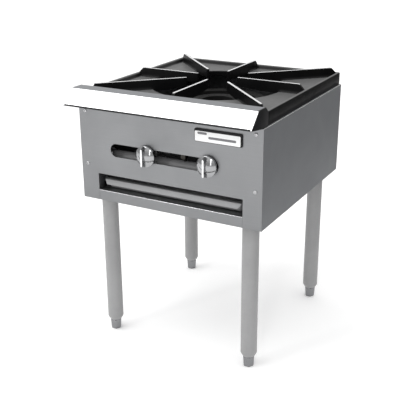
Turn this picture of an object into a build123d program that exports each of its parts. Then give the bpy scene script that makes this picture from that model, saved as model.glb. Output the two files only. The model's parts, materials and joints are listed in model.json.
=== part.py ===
from build123d import *
from math import cos, radians, sin, sqrt
import os

# Stock pot range, 18 in wide, on tubular legs. +Z up, origin under the middle of the whole box.
# Lengths in mm. X is left to right seen from the front, Y runs from front to back.

# ---- driving dimensions ----
BODY_W = 457.2            # body width, 18 in
BODY_D = 466.0            # front panel face to rear panel face
BODY_BOTTOM = 360.7
BODY_TOP = 583.0          # top of the side panels, where the cast top rests
LEDGE_OUT = 58.4          # how far the front ledge stands out
INLET_OUT = 25.6          # how far the gas inlet stands out behind
SHEET = 1.2               # body sheet steel
FLANGE = 16.0             # inward flanges of the body panels
GAP = 0.3                 # clearance between parts that move past each other
HOLE_CLEAR = 0.1          # round a screw, stud or pipe in its hole
PIPE_FIT = 0.05           # round a pipe or shaft in its socket

FRONT = -(BODY_D + INLET_OUT - LEDGE_OUT) / 2     # Y of the front panel's face
BACK = FRONT + BODY_D
HALF_W = BODY_W / 2
INNER_W = HALF_W - SHEET
RETURN_BOTTOM, RETURN_TOP = BODY_BOTTOM + 1.8, BODY_TOP - 3.0

# control slot and tray opening in the front panel
SLOT_X, SLOT_Z, SLOT_L, SLOT_H = -10.0, 486.8, 274.0, 30.5
TRAY_HALF = 184.0
TRAY_TOP = 425.5
RAIL_TOP = 385.5
OPENING_DEPTH = 19.0
TONGUE_HALF, TONGUE_TOP, TONGUE_FLANGE = 224.8, 600.0, 12.0

# cast top
TOP_HALF = 224.6
TOP_FRONT = FRONT + 26.0
RIM_Z, PLATE_Z, RIB_Z = 613.0, 604.0, 626.0
CENTRE_Y = FRONT + 240.0  # middle of the burner and of the ribs
SKIRT = 5.6
PLATE_T = 6.0
SLOPE_OUT, SLOPE_IN = 219.0, 207.0
OPENING_R = 158.0
COLLAR_T, COLLAR_Z = 5.0, 592.0
RIB_W = 6.5
RIB_TIP_AXIAL, RIB_TIP_DIAG = 52.0, 76.0
RIB_END_AXIAL, RIB_END_DIAG = 205.0, 291.0
RIB_TIP_Z, RIB_TIP_STEP, RIB_TIP_DROP = 606.0, 6.0, 2.0
RIB_MID_Z, RIB_FOOT_Z, RIB_MID_IN, RIM_BITE = 599.0, 599.5, 2.0, 0.5
RIB_FALL, RIB_FALL_FRONT = 14.0, 6.0    # run of a rib's sloping end; the front border is narrower
SLOPE_FRONT_IN = 2.0

# legs and feet
LEG_X, LEG_Y_FRONT, LEG_Y_REAR = 185.0, FRONT + 41.6, FRONT + 431.9
LEG_R, LEG_WALL = 19.05, 1.65
LEG_TAPER_Z, LEG_END_Z, LEG_END_R = 36.0, 27.0, 14.0
FOOT_FLATS_TOP, FOOT_FLATS_BOTTOM, FOOT_BEVEL, FOOT_BEVEL_H = 26.0, 23.0, 2.0, 3.0
STEM_R = 6.35
INSERT_TOP, STEM_TOP = 62.0, 78.0
PLUG_T = 11.0
BOLT_R, BOLT_FLATS, BOLT_HEAD = 6.2, 19.0, 7.6
CHANNEL_IN, CHANNEL_OUT, CHANNEL_T = 160.0, 210.0, 2.5
CHANNEL_TOP, CHANNEL_INSET, CHANNEL_NOTCH = 384.5, 2.0, 30.0
BOLT_HOLE_R = BOLT_R + 0.2
PAN_EDGE = 12.0

# gas train
MANIFOLD_Y, MANIFOLD_Z, PIPE_R, PIPE_BORE = FRONT + 38.0, 462.0, 13.35, 10.5
MANIFOLD_LEFT, SUPPLY_X = -181.0, 190.0
ELBOW_R, ELBOW_ARM, ELBOW_SOCKET, ELBOW_STOP = 17.0, 26.0, 12.0, 15.0
CAP_WALL, CAP_L, CAP_CLOSED = 3.5, 22.0, 8.0
SADDLE_X, SADDLE_W, SADDLE_T = 152.0, 18.0, 4.0
SADDLE_BOTTOM, SADDLE_TOP = 440.0, 482.0
VALVE_X = {"left": -50.8, "right": 101.6}
STEM_Z = 487.0
VALVE_R, VALVE_FRONT, VALVE_REAR = 10.0, FRONT + 22.0, FRONT + 60.0
VALVE_NECK_R, VALVE_NECK_FRONT, VALVE_NECK_REAR = 7.5, 6.0, 8.0
NIPPLE_FOOT = MANIFOLD_Z + 4.0
PLUG_WALL = 1.0           # between a spindle's end and the valve's gas way
NIPPLE_R = 6.4
SPINDLE_R = 4.0
SPINDLE_FRONT, SPINDLE_REAR, SPINDLE_FLAT = FRONT - 11.0, FRONT + 44.0, (9.0, 2.6)
HOOD_FLATS, HOOD_REAR, HOOD_BORE, ORIFICE_R, ORIFICE_L = 12.7, FRONT + 82.0, 3.4, 0.9, 4.0
INLET_R, INLET_FRONT, INLET_SOCKET = 17.5, BACK - 14.0, 14.0
INLET_THREAD_R, INLET_THREAD_L = 12.1, 19.0

# pilot
PILOT_X, PILOT_Y, PILOT_TUBE_R, PILOT_NIPPLE_R = 25.0, FRONT + 114.0, 3.1, 3.5
PILOT_VALVE_R, PILOT_VALVE_FRONT, PILOT_VALVE_REAR = 6.0, MANIFOLD_Y - 10.0, MANIFOLD_Y + 12.0
PILOT_TUBE_START, PILOT_BEND, PILOT_TOP = MANIFOLD_Y + 4.0, 11.0, 548.0
PILOT_HEAD_R, PILOT_HEAD_H, PILOT_HEAD_BORE, PILOT_FLOOR = 5.5, 16.0, 2.2, 2.0
PILOT_NOTCH_W, PILOT_NOTCH_H, PILOT_NOTCH_REACH = 4.0, 6.0, 6.0
BRACKET_HALF, BRACKET_T, BRACKET_BOTTOM, BRACKET_TOP, BRACKET_REACH = 9.0, 1.5, 520.0, 545.0, 6.0

# knobs
KNOB_R, KNOB_BACK, KNOB_RIM, KNOB_FACE = 23.5, FRONT - 2.5, FRONT - 8.5, FRONT - 12.5
WING_FRONT, WING_H, WING_W, WING_FLARE, WING_TAPER = FRONT - 24.0, 43.0, 4.6, 5.0, 3.0
KNOB_CHAMFER, KNOB_BEVEL, KNOB_DOME = (1.5, 1.0), 5.0, 1.0
KNOB_WALL, KNOB_HOLLOW, KNOB_HUB, KNOB_FIT = 4.0, 3.0, 3.0, 0.02

# burners
RING_Z, RING_H = 541.0, 26.0
OUTER_RING, INNER_RING = (95.0, 119.0), (38.0, 62.0)
RING_WALL = 4.0
TUBE_R, TUBE_BORE = 16.0, 12.0
MOUTH_Y, MOUTH_R = FRONT + 86.6, 20.0
SHUTTER_T, SHUTTER_BORE = 2.0, 8.0
SHUTTER_WINDOW, SHUTTER_WINDOW_X, SHUTTER_TAB = (7.0, 14.0), 14.0, (4.0, 8.0, 2.0)
MOUTH_L = 8.0
SHIELD_Y, SHIELD_BOTTOM, SHIELD_TOP = FRONT + 100.0, 428.0, 580.0
SHIELD_FOLD, SHIELD_HOLE = 10.0, 1.0
BAR_Y, BAR_W, BAR_TOP, BAR_H, BAR_T = 43.0, 26.0, 515.0, 11.0, 3.0

# drip tray
TRAY_Z, TRAY_RIM = 386.0, 409.5
TRAY_W, TRAY_LIP_W = 172.0, 175.0
TRAY_FRONT, TRAY_BACK = FRONT + 22.0, FRONT + 442.0

os.makedirs("parts", exist_ok=True)


def span(x, y, z, mode=Mode.ADD):
    """Box between two values along each axis, in the part being built."""
    with Locations(((x[0] + x[1]) / 2, (y[0] + y[1]) / 2, (z[0] + z[1]) / 2)):
        Box(x[1] - x[0], y[1] - y[0], z[1] - z[0], mode=mode)


def mirrored(side, low, high):
    """X range on the left (-1) or right (+1) side, lowest value first."""
    return (low, high) if side > 0 else (-high, -low)


def rod(x, z, r, y0, y1, mode=Mode.ADD):
    """Cylinder along Y between y0 and y1, in the part being built."""
    with Locations((x, (y0 + y1) / 2, z)):
        Cylinder(r, y1 - y0, rotation=(90, 0, 0), mode=mode)


def post(x, y, r, z0, z1, mode=Mode.ADD):
    """Cylinder along Z between z0 and z1, in the part being built."""
    with Locations((x, y, (z0 + z1) / 2)):
        Cylinder(r, z1 - z0, mode=mode)


SIDES = (("left", -1), ("right", 1))
ENDS = (("front", LEG_Y_FRONT), ("rear", LEG_Y_REAR))
SCREW_X, SCREW_Z, SCREW_R, SCREW_HEAD_R, SCREW_HEAD_H = 212.0, (446.0, 570.0), 2.0, 4.2, 2.2
BADGE_X, BADGE_Z, BADGE_T, BADGE_CORNER = (71.0, 182.5), (538.5, 567.0), 3.5, 3.0
STUD_X, STUD_R, STUD_L, STUD_NUT, STUD_NUT_T = (85.0, 168.5), 1.5, 6.0, 2.0, 1.6
SCREW_L = 9.0
BADGE_MID_Z = sum(BADGE_Z) / 2

# ---- body ----
with BuildPart() as front_panel:
    span((-HALF_W, HALF_W), (FRONT, FRONT + SHEET), (BODY_BOTTOM, BODY_TOP))
    span((-TONGUE_HALF, TONGUE_HALF), (FRONT, FRONT + SHEET), (BODY_TOP, TONGUE_TOP))
    span((-TONGUE_HALF, TONGUE_HALF), (FRONT, FRONT + TONGUE_FLANGE),
         (TONGUE_TOP - SHEET, TONGUE_TOP))
    for side in (-1, 1):
        span(mirrored(side, INNER_W - SHEET, INNER_W), (FRONT, FRONT + FLANGE),
             (RETURN_BOTTOM, RETURN_TOP))
        span(mirrored(side, TRAY_HALF, TRAY_HALF + SHEET), (FRONT, FRONT + OPENING_DEPTH),
             (RAIL_TOP, TRAY_TOP + SHEET))
    span((-TRAY_HALF, TRAY_HALF), (FRONT, FRONT + OPENING_DEPTH), (TRAY_TOP, TRAY_TOP + SHEET))
    span((-TRAY_HALF, TRAY_HALF), (FRONT, FRONT + SHEET), (BODY_BOTTOM, TRAY_TOP), Mode.SUBTRACT)
    with BuildSketch(Plane.XZ.offset(-FRONT - SHEET)):
        with Locations((SLOT_X, SLOT_Z)):
            SlotOverall(SLOT_L, SLOT_H)
        with Locations(*[(s * SCREW_X, z) for s in (-1, 1) for z in SCREW_Z]):
            Circle(SCREW_R + HOLE_CLEAR)
        with Locations(*[(x, BADGE_MID_Z) for x in STUD_X]):
            Circle(STUD_R + HOLE_CLEAR)
    extrude(amount=SHEET, mode=Mode.SUBTRACT)
front_panel.part.label = "front_panel"
export_step(front_panel.part, "parts/front_panel.step")

RAIL_HALF, RAIL_FLANGE, RAIL_FOOT_HALF = TRAY_HALF - GAP, 28.0, 157.0
with BuildPart() as front_bottom_rail:
    span((-RAIL_HALF, RAIL_HALF), (FRONT, FRONT + SHEET), (BODY_BOTTOM, RAIL_TOP))
    span((-RAIL_HALF, RAIL_HALF), (FRONT, FRONT + RAIL_FLANGE), (RAIL_TOP - SHEET, RAIL_TOP))
    span((-RAIL_FOOT_HALF, RAIL_FOOT_HALF), (FRONT, FRONT + RAIL_FLANGE),
         (BODY_BOTTOM, BODY_BOTTOM + SHEET))
front_bottom_rail.part.label = "front_bottom_rail"
export_step(front_bottom_rail.part, "parts/front_bottom_rail.step")

for name, side in SIDES:
    with BuildPart() as side_panel:
        inside = (FRONT + SHEET, BACK - SHEET)
        span(mirrored(side, INNER_W, HALF_W), inside, (BODY_BOTTOM, BODY_TOP))
        for z in (BODY_BOTTOM, BODY_TOP - SHEET):
            span(mirrored(side, INNER_W - FLANGE + SHEET, INNER_W), inside, (z, z + SHEET))
    side_panel.part.label = f"{name}_side_panel"
    export_step(side_panel.part, f"parts/{name}_side_panel.step")

VENT_ROWS, VENT_COLS, VENT_L, VENT_H = 2, 3, 88.0, 8.0
VENT_AT, VENT_PITCH = (-30.0, 424.0), (110.0, 18.0)
REAR_SCREW_X, REAR_SCREW_Z = (-SCREW_X, 0, SCREW_X), (380.0, 572.0)
INLET_HOLE_R = INLET_R + 0.7
with BuildPart() as rear_panel:
    span((-HALF_W, HALF_W), (BACK - SHEET, BACK), (BODY_BOTTOM, BODY_TOP))
    for side in (-1, 1):
        span(mirrored(side, INNER_W - SHEET, INNER_W), (BACK - FLANGE, BACK),
             (RETURN_BOTTOM, RETURN_TOP))
    with BuildSketch(Plane.XZ.offset(-BACK)):
        with Locations(VENT_AT):
            with GridLocations(*VENT_PITCH, VENT_COLS, VENT_ROWS):
                SlotOverall(VENT_L, VENT_H)
        with Locations((SUPPLY_X, MANIFOLD_Z)):
            Circle(INLET_HOLE_R)
        with Locations(*[(x, z) for x in REAR_SCREW_X for z in REAR_SCREW_Z]):
            Circle(SCREW_R + HOLE_CLEAR)
    extrude(amount=SHEET, mode=Mode.SUBTRACT)
rear_panel.part.label = "rear_panel"
export_step(rear_panel.part, "parts/rear_panel.step")

for name, side in SIDES:
    with BuildPart() as leg_channel:
        run = (FRONT + CHANNEL_INSET, BACK - CHANNEL_INSET)
        span(mirrored(side, CHANNEL_IN, CHANNEL_OUT), run, (BODY_BOTTOM, BODY_BOTTOM + CHANNEL_T))
        for edge in (CHANNEL_IN, CHANNEL_OUT - CHANNEL_T):
            span(mirrored(side, edge, edge + CHANNEL_T), (run[0] + CHANNEL_NOTCH, run[1]),
                 (BODY_BOTTOM, CHANNEL_TOP))
        for end, y in ENDS:
            post(side * LEG_X, y, BOLT_HOLE_R, BODY_BOTTOM, BODY_BOTTOM + CHANNEL_T, Mode.SUBTRACT)
    leg_channel.part.label = f"{name}_leg_channel"
    export_step(leg_channel.part, f"parts/{name}_leg_channel.step")

with BuildPart() as bottom_pan:
    span((-RAIL_FOOT_HALF, RAIL_FOOT_HALF), (FRONT + RAIL_FLANGE, BACK - SHEET),
         (BODY_BOTTOM, BODY_BOTTOM + SHEET))
    for side in (-1, 1):
        span(mirrored(side, RAIL_FOOT_HALF - SHEET, RAIL_FOOT_HALF),
             (FRONT + RAIL_FLANGE, BACK - SHEET), (BODY_BOTTOM, BODY_BOTTOM + PAN_EDGE))
bottom_pan.part.label = "bottom_pan"
export_step(bottom_pan.part, "parts/bottom_pan.step")

# ---- ledge ----
LEDGE_HALF, CAP_T = 225.0, 2.6
GUSSET_X, GUSSET_T = 120.0, 3.0
# side profiles: depth behind the front panel's face, and height
LEDGE_PROFILE = ((-48.4, 590.7), (-LEDGE_OUT, 592.1), (-24.9, 625.7), (11.1, 625.7), (24.6, 613.4),
                 (23.3, 612.4), (10.5, 624.2), (-24.2, 624.2), (-55.8, 592.7), (-48.4, 591.9))
CAP_PROFILE = ((-58.1, 591.7), (-25.1, 625.4), (11.1, 625.4), (24.0, 613.4), (24.0, BODY_TOP + 0.4),
               (0.0, BODY_TOP + 0.4))
GUSSET_PROFILE = ((-42.0, TONGUE_TOP), (-22.0, 624.2), (9.0, 624.2), (18.0, 614.2), (18.0, TONGUE_TOP))


def side_profile(start, thickness, profile):
    """Plate cut to a side profile, from X start towards +X, in the part being built."""
    with BuildSketch(Plane.YZ.offset(start)) as outline:
        with BuildLine():
            Polyline(*[(FRONT + y, z) for y, z in profile], close=True)
        make_face()
    extrude(outline.sketch, amount=thickness)


with BuildPart() as front_ledge:
    side_profile(-LEDGE_HALF, 2 * LEDGE_HALF, LEDGE_PROFILE)
front_ledge.part.label = "front_ledge"
export_step(front_ledge.part, "parts/front_ledge.step")

for name, side in SIDES:
    with BuildPart() as end_cap:
        side_profile(mirrored(side, LEDGE_HALF, LEDGE_HALF + CAP_T)[0], CAP_T, CAP_PROFILE)
    end_cap.part.label = f"{name}_ledge_end_cap"
    export_step(end_cap.part, f"parts/{name}_ledge_end_cap.step")

    with BuildPart() as gusset:
        side_profile(mirrored(side, GUSSET_X, GUSSET_X + GUSSET_T)[0], GUSSET_T, GUSSET_PROFILE)
    gusset.part.label = f"{name}_ledge_gusset"
    export_step(gusset.part, f"parts/{name}_ledge_gusset.step")

# ---- cast top: a dished plate with a round opening and eight ribs ----
with BuildPart() as top_grate:
    span((-TOP_HALF, TOP_HALF), (TOP_FRONT, BACK), (BODY_TOP, RIM_Z))
    span((-TOP_HALF + SKIRT, TOP_HALF - SKIRT), (TOP_FRONT + SKIRT, BACK - SKIRT),
         (BODY_TOP, PLATE_Z - PLATE_T), Mode.SUBTRACT)
    with BuildSketch(Plane.XY.offset(RIM_Z)):
        with Locations((0, (TOP_FRONT + SLOPE_FRONT_IN + CENTRE_Y + SLOPE_OUT) / 2)):
            Rectangle(2 * SLOPE_OUT, CENTRE_Y + SLOPE_OUT - TOP_FRONT - SLOPE_FRONT_IN)
    with BuildSketch(Plane.XY.offset(PLATE_Z)):
        with Locations((0, CENTRE_Y)):
            Rectangle(2 * SLOPE_IN, 2 * SLOPE_IN)
    loft(mode=Mode.SUBTRACT)
    post(0, CENTRE_Y, OPENING_R + COLLAR_T, COLLAR_Z, PLATE_Z)
    post(0, CENTRE_Y, OPENING_R, COLLAR_Z, RIM_Z, Mode.SUBTRACT)
    for turn in range(0, 360, 45):
        tip, end = (RIB_TIP_AXIAL, RIB_END_AXIAL) if turn % 90 == 0 else (RIB_TIP_DIAG, RIB_END_DIAG)
        foot = end + (RIB_FALL_FRONT if turn > 180 else RIB_FALL)
        plane = Plane(origin=(0, CENTRE_Y, 0), x_dir=(cos(radians(turn)), sin(radians(turn)), 0),
                      z_dir=(sin(radians(turn)), -cos(radians(turn)), 0))
        with BuildSketch(plane.offset(-RIB_W / 2)):
            with BuildLine():
                Polyline((tip, RIB_TIP_Z), (tip + RIB_TIP_STEP, RIB_TIP_Z - RIB_TIP_DROP),
                         (OPENING_R - RIB_MID_IN, RIB_MID_Z), (foot, RIB_FOOT_Z),
                         (foot, RIM_Z - RIM_BITE), (end, RIB_Z), (tip, RIB_Z), close=True)
            make_face()
        extrude(amount=RIB_W)
top_grate.part.label = "top_grate"
export_step(top_grate.part, "parts/top_grate.step")

# ---- legs, feet and their bolts ----
for end, y in ENDS:
    for name, side in SIDES:
        x = side * LEG_X
        with BuildPart() as leg:
            with BuildSketch(Plane.XZ):
                with BuildLine():
                    Polyline((STEM_R + PIPE_FIT, LEG_END_Z), (LEG_END_R, LEG_END_Z),
                             (LEG_R, LEG_TAPER_Z), (LEG_R, BODY_BOTTOM), (BOLT_HOLE_R, BODY_BOTTOM),
                             (BOLT_HOLE_R, BODY_BOTTOM - PLUG_T),
                             (LEG_R - LEG_WALL, BODY_BOTTOM - PLUG_T),
                             (LEG_R - LEG_WALL, INSERT_TOP), (STEM_R + PIPE_FIT, INSERT_TOP),
                             close=True)
                make_face()
            revolve(axis=Axis.Z)
        leg.part.label = f"{end}_{name}_leg"
        leg.part.position = (x, y, 0)
        export_step(leg.part, f"parts/{end}_{name}_leg.step")

        with BuildPart() as foot:
            with BuildSketch(Plane.XY):
                RegularPolygon(FOOT_FLATS_BOTTOM / 2 - FOOT_BEVEL, 6, major_radius=False)
            with BuildSketch(Plane.XY.offset(FOOT_BEVEL_H)):
                RegularPolygon(FOOT_FLATS_BOTTOM / 2, 6, major_radius=False)
            loft()
            with BuildSketch(Plane.XY.offset(FOOT_BEVEL_H)):
                RegularPolygon(FOOT_FLATS_BOTTOM / 2, 6, major_radius=False)
            with BuildSketch(Plane.XY.offset(LEG_END_Z)):
                RegularPolygon(FOOT_FLATS_TOP / 2, 6, major_radius=False)
            loft()
            post(0, 0, STEM_R, LEG_END_Z, STEM_TOP)
        foot.part.label = f"{end}_{name}_foot"
        foot.part.position = (x, y, 0)
        export_step(foot.part, f"parts/{end}_{name}_foot.step")

HEAD_Z = BODY_BOTTOM + CHANNEL_T
with BuildPart() as leg_bolts:
    for end, y in ENDS:
        for name, side in SIDES:
            with BuildSketch(Plane.XY.offset(HEAD_Z)):
                with Locations((side * LEG_X, y)):
                    RegularPolygon(BOLT_FLATS / 2, 6, major_radius=False)
            extrude(amount=BOLT_HEAD)
            post(side * LEG_X, y, BOLT_R, BODY_BOTTOM - PLUG_T, HEAD_Z)
leg_bolts.part.label = "leg_bolts"
export_step(leg_bolts.part, "parts/leg_bolts.step")

# ---- gas train ----
def bar(r, x0, x1, mode=Mode.ADD):
    """Cylinder along X on the manifold's line, in the part being built."""
    with Locations(((x0 + x1) / 2, MANIFOLD_Y, MANIFOLD_Z)):
        Cylinder(r, x1 - x0, rotation=(0, 90, 0), mode=mode)


PIPE_END = SUPPLY_X - ELBOW_STOP
SUPPLY_FRONT, ELBOW_REAR = MANIFOLD_Y + ELBOW_STOP, MANIFOLD_Y + ELBOW_ARM
with BuildPart() as manifold_pipe:
    bar(PIPE_R, MANIFOLD_LEFT, PIPE_END)
    bar(PIPE_BORE, MANIFOLD_LEFT, PIPE_END, Mode.SUBTRACT)
    for x in VALVE_X.values():
        post(x, MANIFOLD_Y, NIPPLE_R + HOLE_CLEAR, MANIFOLD_Z, STEM_Z, Mode.SUBTRACT)
    post(PILOT_X, MANIFOLD_Y, PILOT_NIPPLE_R + HOLE_CLEAR, MANIFOLD_Z, STEM_Z, Mode.SUBTRACT)
manifold_pipe.part.label = "manifold_pipe"
export_step(manifold_pipe.part, "parts/manifold_pipe.step")

CAP_START = MANIFOLD_LEFT - CAP_CLOSED
with BuildPart() as manifold_cap:
    bar(PIPE_R + CAP_WALL, CAP_START, CAP_START + CAP_L)
    bar(PIPE_R + PIPE_FIT, MANIFOLD_LEFT, CAP_START + CAP_L, Mode.SUBTRACT)
manifold_cap.part.label = "manifold_cap"
export_step(manifold_cap.part, "parts/manifold_cap.step")

with BuildPart() as supply_elbow:
    with Locations((SUPPLY_X, MANIFOLD_Y, MANIFOLD_Z)):
        Sphere(ELBOW_R)
    bar(ELBOW_R, SUPPLY_X - ELBOW_ARM, SUPPLY_X)
    rod(SUPPLY_X, MANIFOLD_Z, ELBOW_R, MANIFOLD_Y, ELBOW_REAR)
    bar(PIPE_R + PIPE_FIT, SUPPLY_X - ELBOW_STOP - ELBOW_SOCKET, PIPE_END, Mode.SUBTRACT)
    bar(PIPE_BORE, SUPPLY_X - ELBOW_ARM, SUPPLY_X, Mode.SUBTRACT)
    rod(SUPPLY_X, MANIFOLD_Z, PIPE_R + PIPE_FIT, SUPPLY_FRONT, ELBOW_REAR, Mode.SUBTRACT)
    rod(SUPPLY_X, MANIFOLD_Z, PIPE_BORE, MANIFOLD_Y, ELBOW_REAR, Mode.SUBTRACT)
supply_elbow.part.label = "supply_elbow"
export_step(supply_elbow.part, "parts/supply_elbow.step")

with BuildPart() as supply_pipe:
    rod(SUPPLY_X, MANIFOLD_Z, PIPE_R, SUPPLY_FRONT, INLET_FRONT + INLET_SOCKET)
    rod(SUPPLY_X, MANIFOLD_Z, PIPE_BORE, SUPPLY_FRONT, INLET_FRONT + INLET_SOCKET, Mode.SUBTRACT)
supply_pipe.part.label = "supply_pipe"
export_step(supply_pipe.part, "parts/supply_pipe.step")

INLET_END = BACK + INLET_OUT
with BuildPart() as rear_gas_inlet:
    rod(SUPPLY_X, MANIFOLD_Z, INLET_R, INLET_FRONT, INLET_END)
    rod(SUPPLY_X, MANIFOLD_Z, PIPE_R + PIPE_FIT, INLET_FRONT, INLET_FRONT + INLET_SOCKET, Mode.SUBTRACT)
    rod(SUPPLY_X, MANIFOLD_Z, PIPE_BORE, INLET_FRONT, INLET_END, Mode.SUBTRACT)
    rod(SUPPLY_X, MANIFOLD_Z, INLET_THREAD_R, INLET_END - INLET_THREAD_L, INLET_END, Mode.SUBTRACT)
rear_gas_inlet.part.label = "rear_gas_inlet"
export_step(rear_gas_inlet.part, "parts/rear_gas_inlet.step")

for name, side in SIDES:
    with BuildPart() as saddle:
        x_range = mirrored(side, SADDLE_X - SADDLE_W / 2, SADDLE_X + SADDLE_W / 2)
        span(x_range, (FRONT + SHEET, MANIFOLD_Y + SADDLE_T), (SADDLE_BOTTOM, MANIFOLD_Z))
        span(x_range, (FRONT + SHEET, FRONT + SHEET + SADDLE_T), (MANIFOLD_Z, SADDLE_TOP))
        bar(PIPE_R + HOLE_CLEAR, x_range[0] - 1, x_range[1] + 1, Mode.SUBTRACT)
    saddle.part.label = f"{name}_manifold_saddle"
    export_step(saddle.part, f"parts/{name}_manifold_saddle.step")

for name, x in VALVE_X.items():
    with BuildPart() as gas_valve:
        rod(x, STEM_Z, VALVE_R, VALVE_FRONT + VALVE_NECK_FRONT, VALVE_REAR - VALVE_NECK_REAR)
        rod(x, STEM_Z, VALVE_NECK_R, VALVE_FRONT, VALVE_REAR)
        post(x, MANIFOLD_Y, NIPPLE_R, NIPPLE_FOOT, STEM_Z)
        rod(x, STEM_Z, SPINDLE_R + PIPE_FIT, VALVE_FRONT, SPINDLE_REAR + PLUG_WALL, Mode.SUBTRACT)
        rod(x, STEM_Z, HOOD_BORE, SPINDLE_REAR + PLUG_WALL, VALVE_REAR, Mode.SUBTRACT)
    gas_valve.part.label = f"{name}_gas_valve"
    export_step(gas_valve.part, f"parts/{name}_gas_valve.step")

    with BuildPart() as spindle:
        rod(x, STEM_Z, SPINDLE_R, SPINDLE_FRONT, SPINDLE_REAR)
        span((x - SPINDLE_R, x + SPINDLE_R), (SPINDLE_FRONT, SPINDLE_FRONT + SPINDLE_FLAT[0]),
             (STEM_Z + SPINDLE_FLAT[1], STEM_Z + SPINDLE_R), Mode.SUBTRACT)
    spindle.part.label = f"{name}_valve_spindle"
    export_step(spindle.part, f"parts/{name}_valve_spindle.step")

    with BuildPart() as hood:
        with BuildSketch(Plane.XZ.offset(-VALVE_REAR)):
            with Locations((x, STEM_Z)):
                RegularPolygon(HOOD_FLATS / 2, 6, major_radius=False)
        extrude(amount=-(HOOD_REAR - VALVE_REAR))
        rod(x, STEM_Z, HOOD_BORE, VALVE_REAR, HOOD_REAR - ORIFICE_L, Mode.SUBTRACT)
        rod(x, STEM_Z, ORIFICE_R, HOOD_REAR - ORIFICE_L, HOOD_REAR, Mode.SUBTRACT)
    hood.part.label = f"{name}_orifice_hood"
    export_step(hood.part, f"parts/{name}_orifice_hood.step")

    with BuildPart() as shutter:
        rear = MOUTH_Y - GAP
        rod(x, STEM_Z, MOUTH_R, rear - SHUTTER_T, rear)
        rod(x, STEM_Z, SHUTTER_BORE, rear - SHUTTER_T, rear, Mode.SUBTRACT)
        with Locations(*[(x + s * SHUTTER_WINDOW_X, rear - SHUTTER_T / 2, STEM_Z) for s in (-1, 1)]):
            Box(SHUTTER_WINDOW[0], SHUTTER_T, SHUTTER_WINDOW[1], mode=Mode.SUBTRACT)
        half, reach, rise = SHUTTER_TAB
        span((x - half, x + half), (rear - reach, rear), (STEM_Z + MOUTH_R - rise, STEM_Z + MOUTH_R + rise))
    shutter.part.label = f"{name}_air_shutter"
    export_step(shutter.part, f"parts/{name}_air_shutter.step")

    with BuildPart() as knob:
        with BuildSketch(Plane.XY):
            with BuildLine():
                Polyline((0, KNOB_BACK), (KNOB_R, KNOB_BACK), (KNOB_R, KNOB_RIM + KNOB_CHAMFER[1]),
                         (KNOB_R - KNOB_CHAMFER[0], KNOB_RIM), (KNOB_R - KNOB_BEVEL, KNOB_FACE),
                         (0, KNOB_FACE - KNOB_DOME), close=True)
            make_face()
        revolve(axis=Axis.Y)
        with BuildSketch(Plane.XZ.offset(-KNOB_FACE)):
            Rectangle(WING_W + WING_FLARE, WING_H)
        with BuildSketch(Plane.XZ.offset(-WING_FRONT)):
            Rectangle(WING_W, WING_H - WING_TAPER)
        loft()
        rod(0, 0, KNOB_R - KNOB_WALL, KNOB_BACK - KNOB_HOLLOW, KNOB_BACK, Mode.SUBTRACT)
        rod(0, 0, SPINDLE_R + KNOB_HUB, KNOB_BACK - KNOB_HOLLOW, KNOB_BACK)
        rod(0, 0, SPINDLE_R + KNOB_FIT, SPINDLE_FRONT, KNOB_BACK, Mode.SUBTRACT)
    knob.part.label = f"{name}_burner_knob"
    knob.part.position = (x, 0, STEM_Z)
    export_step(knob.part, f"parts/{name}_burner_knob.step")

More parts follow.
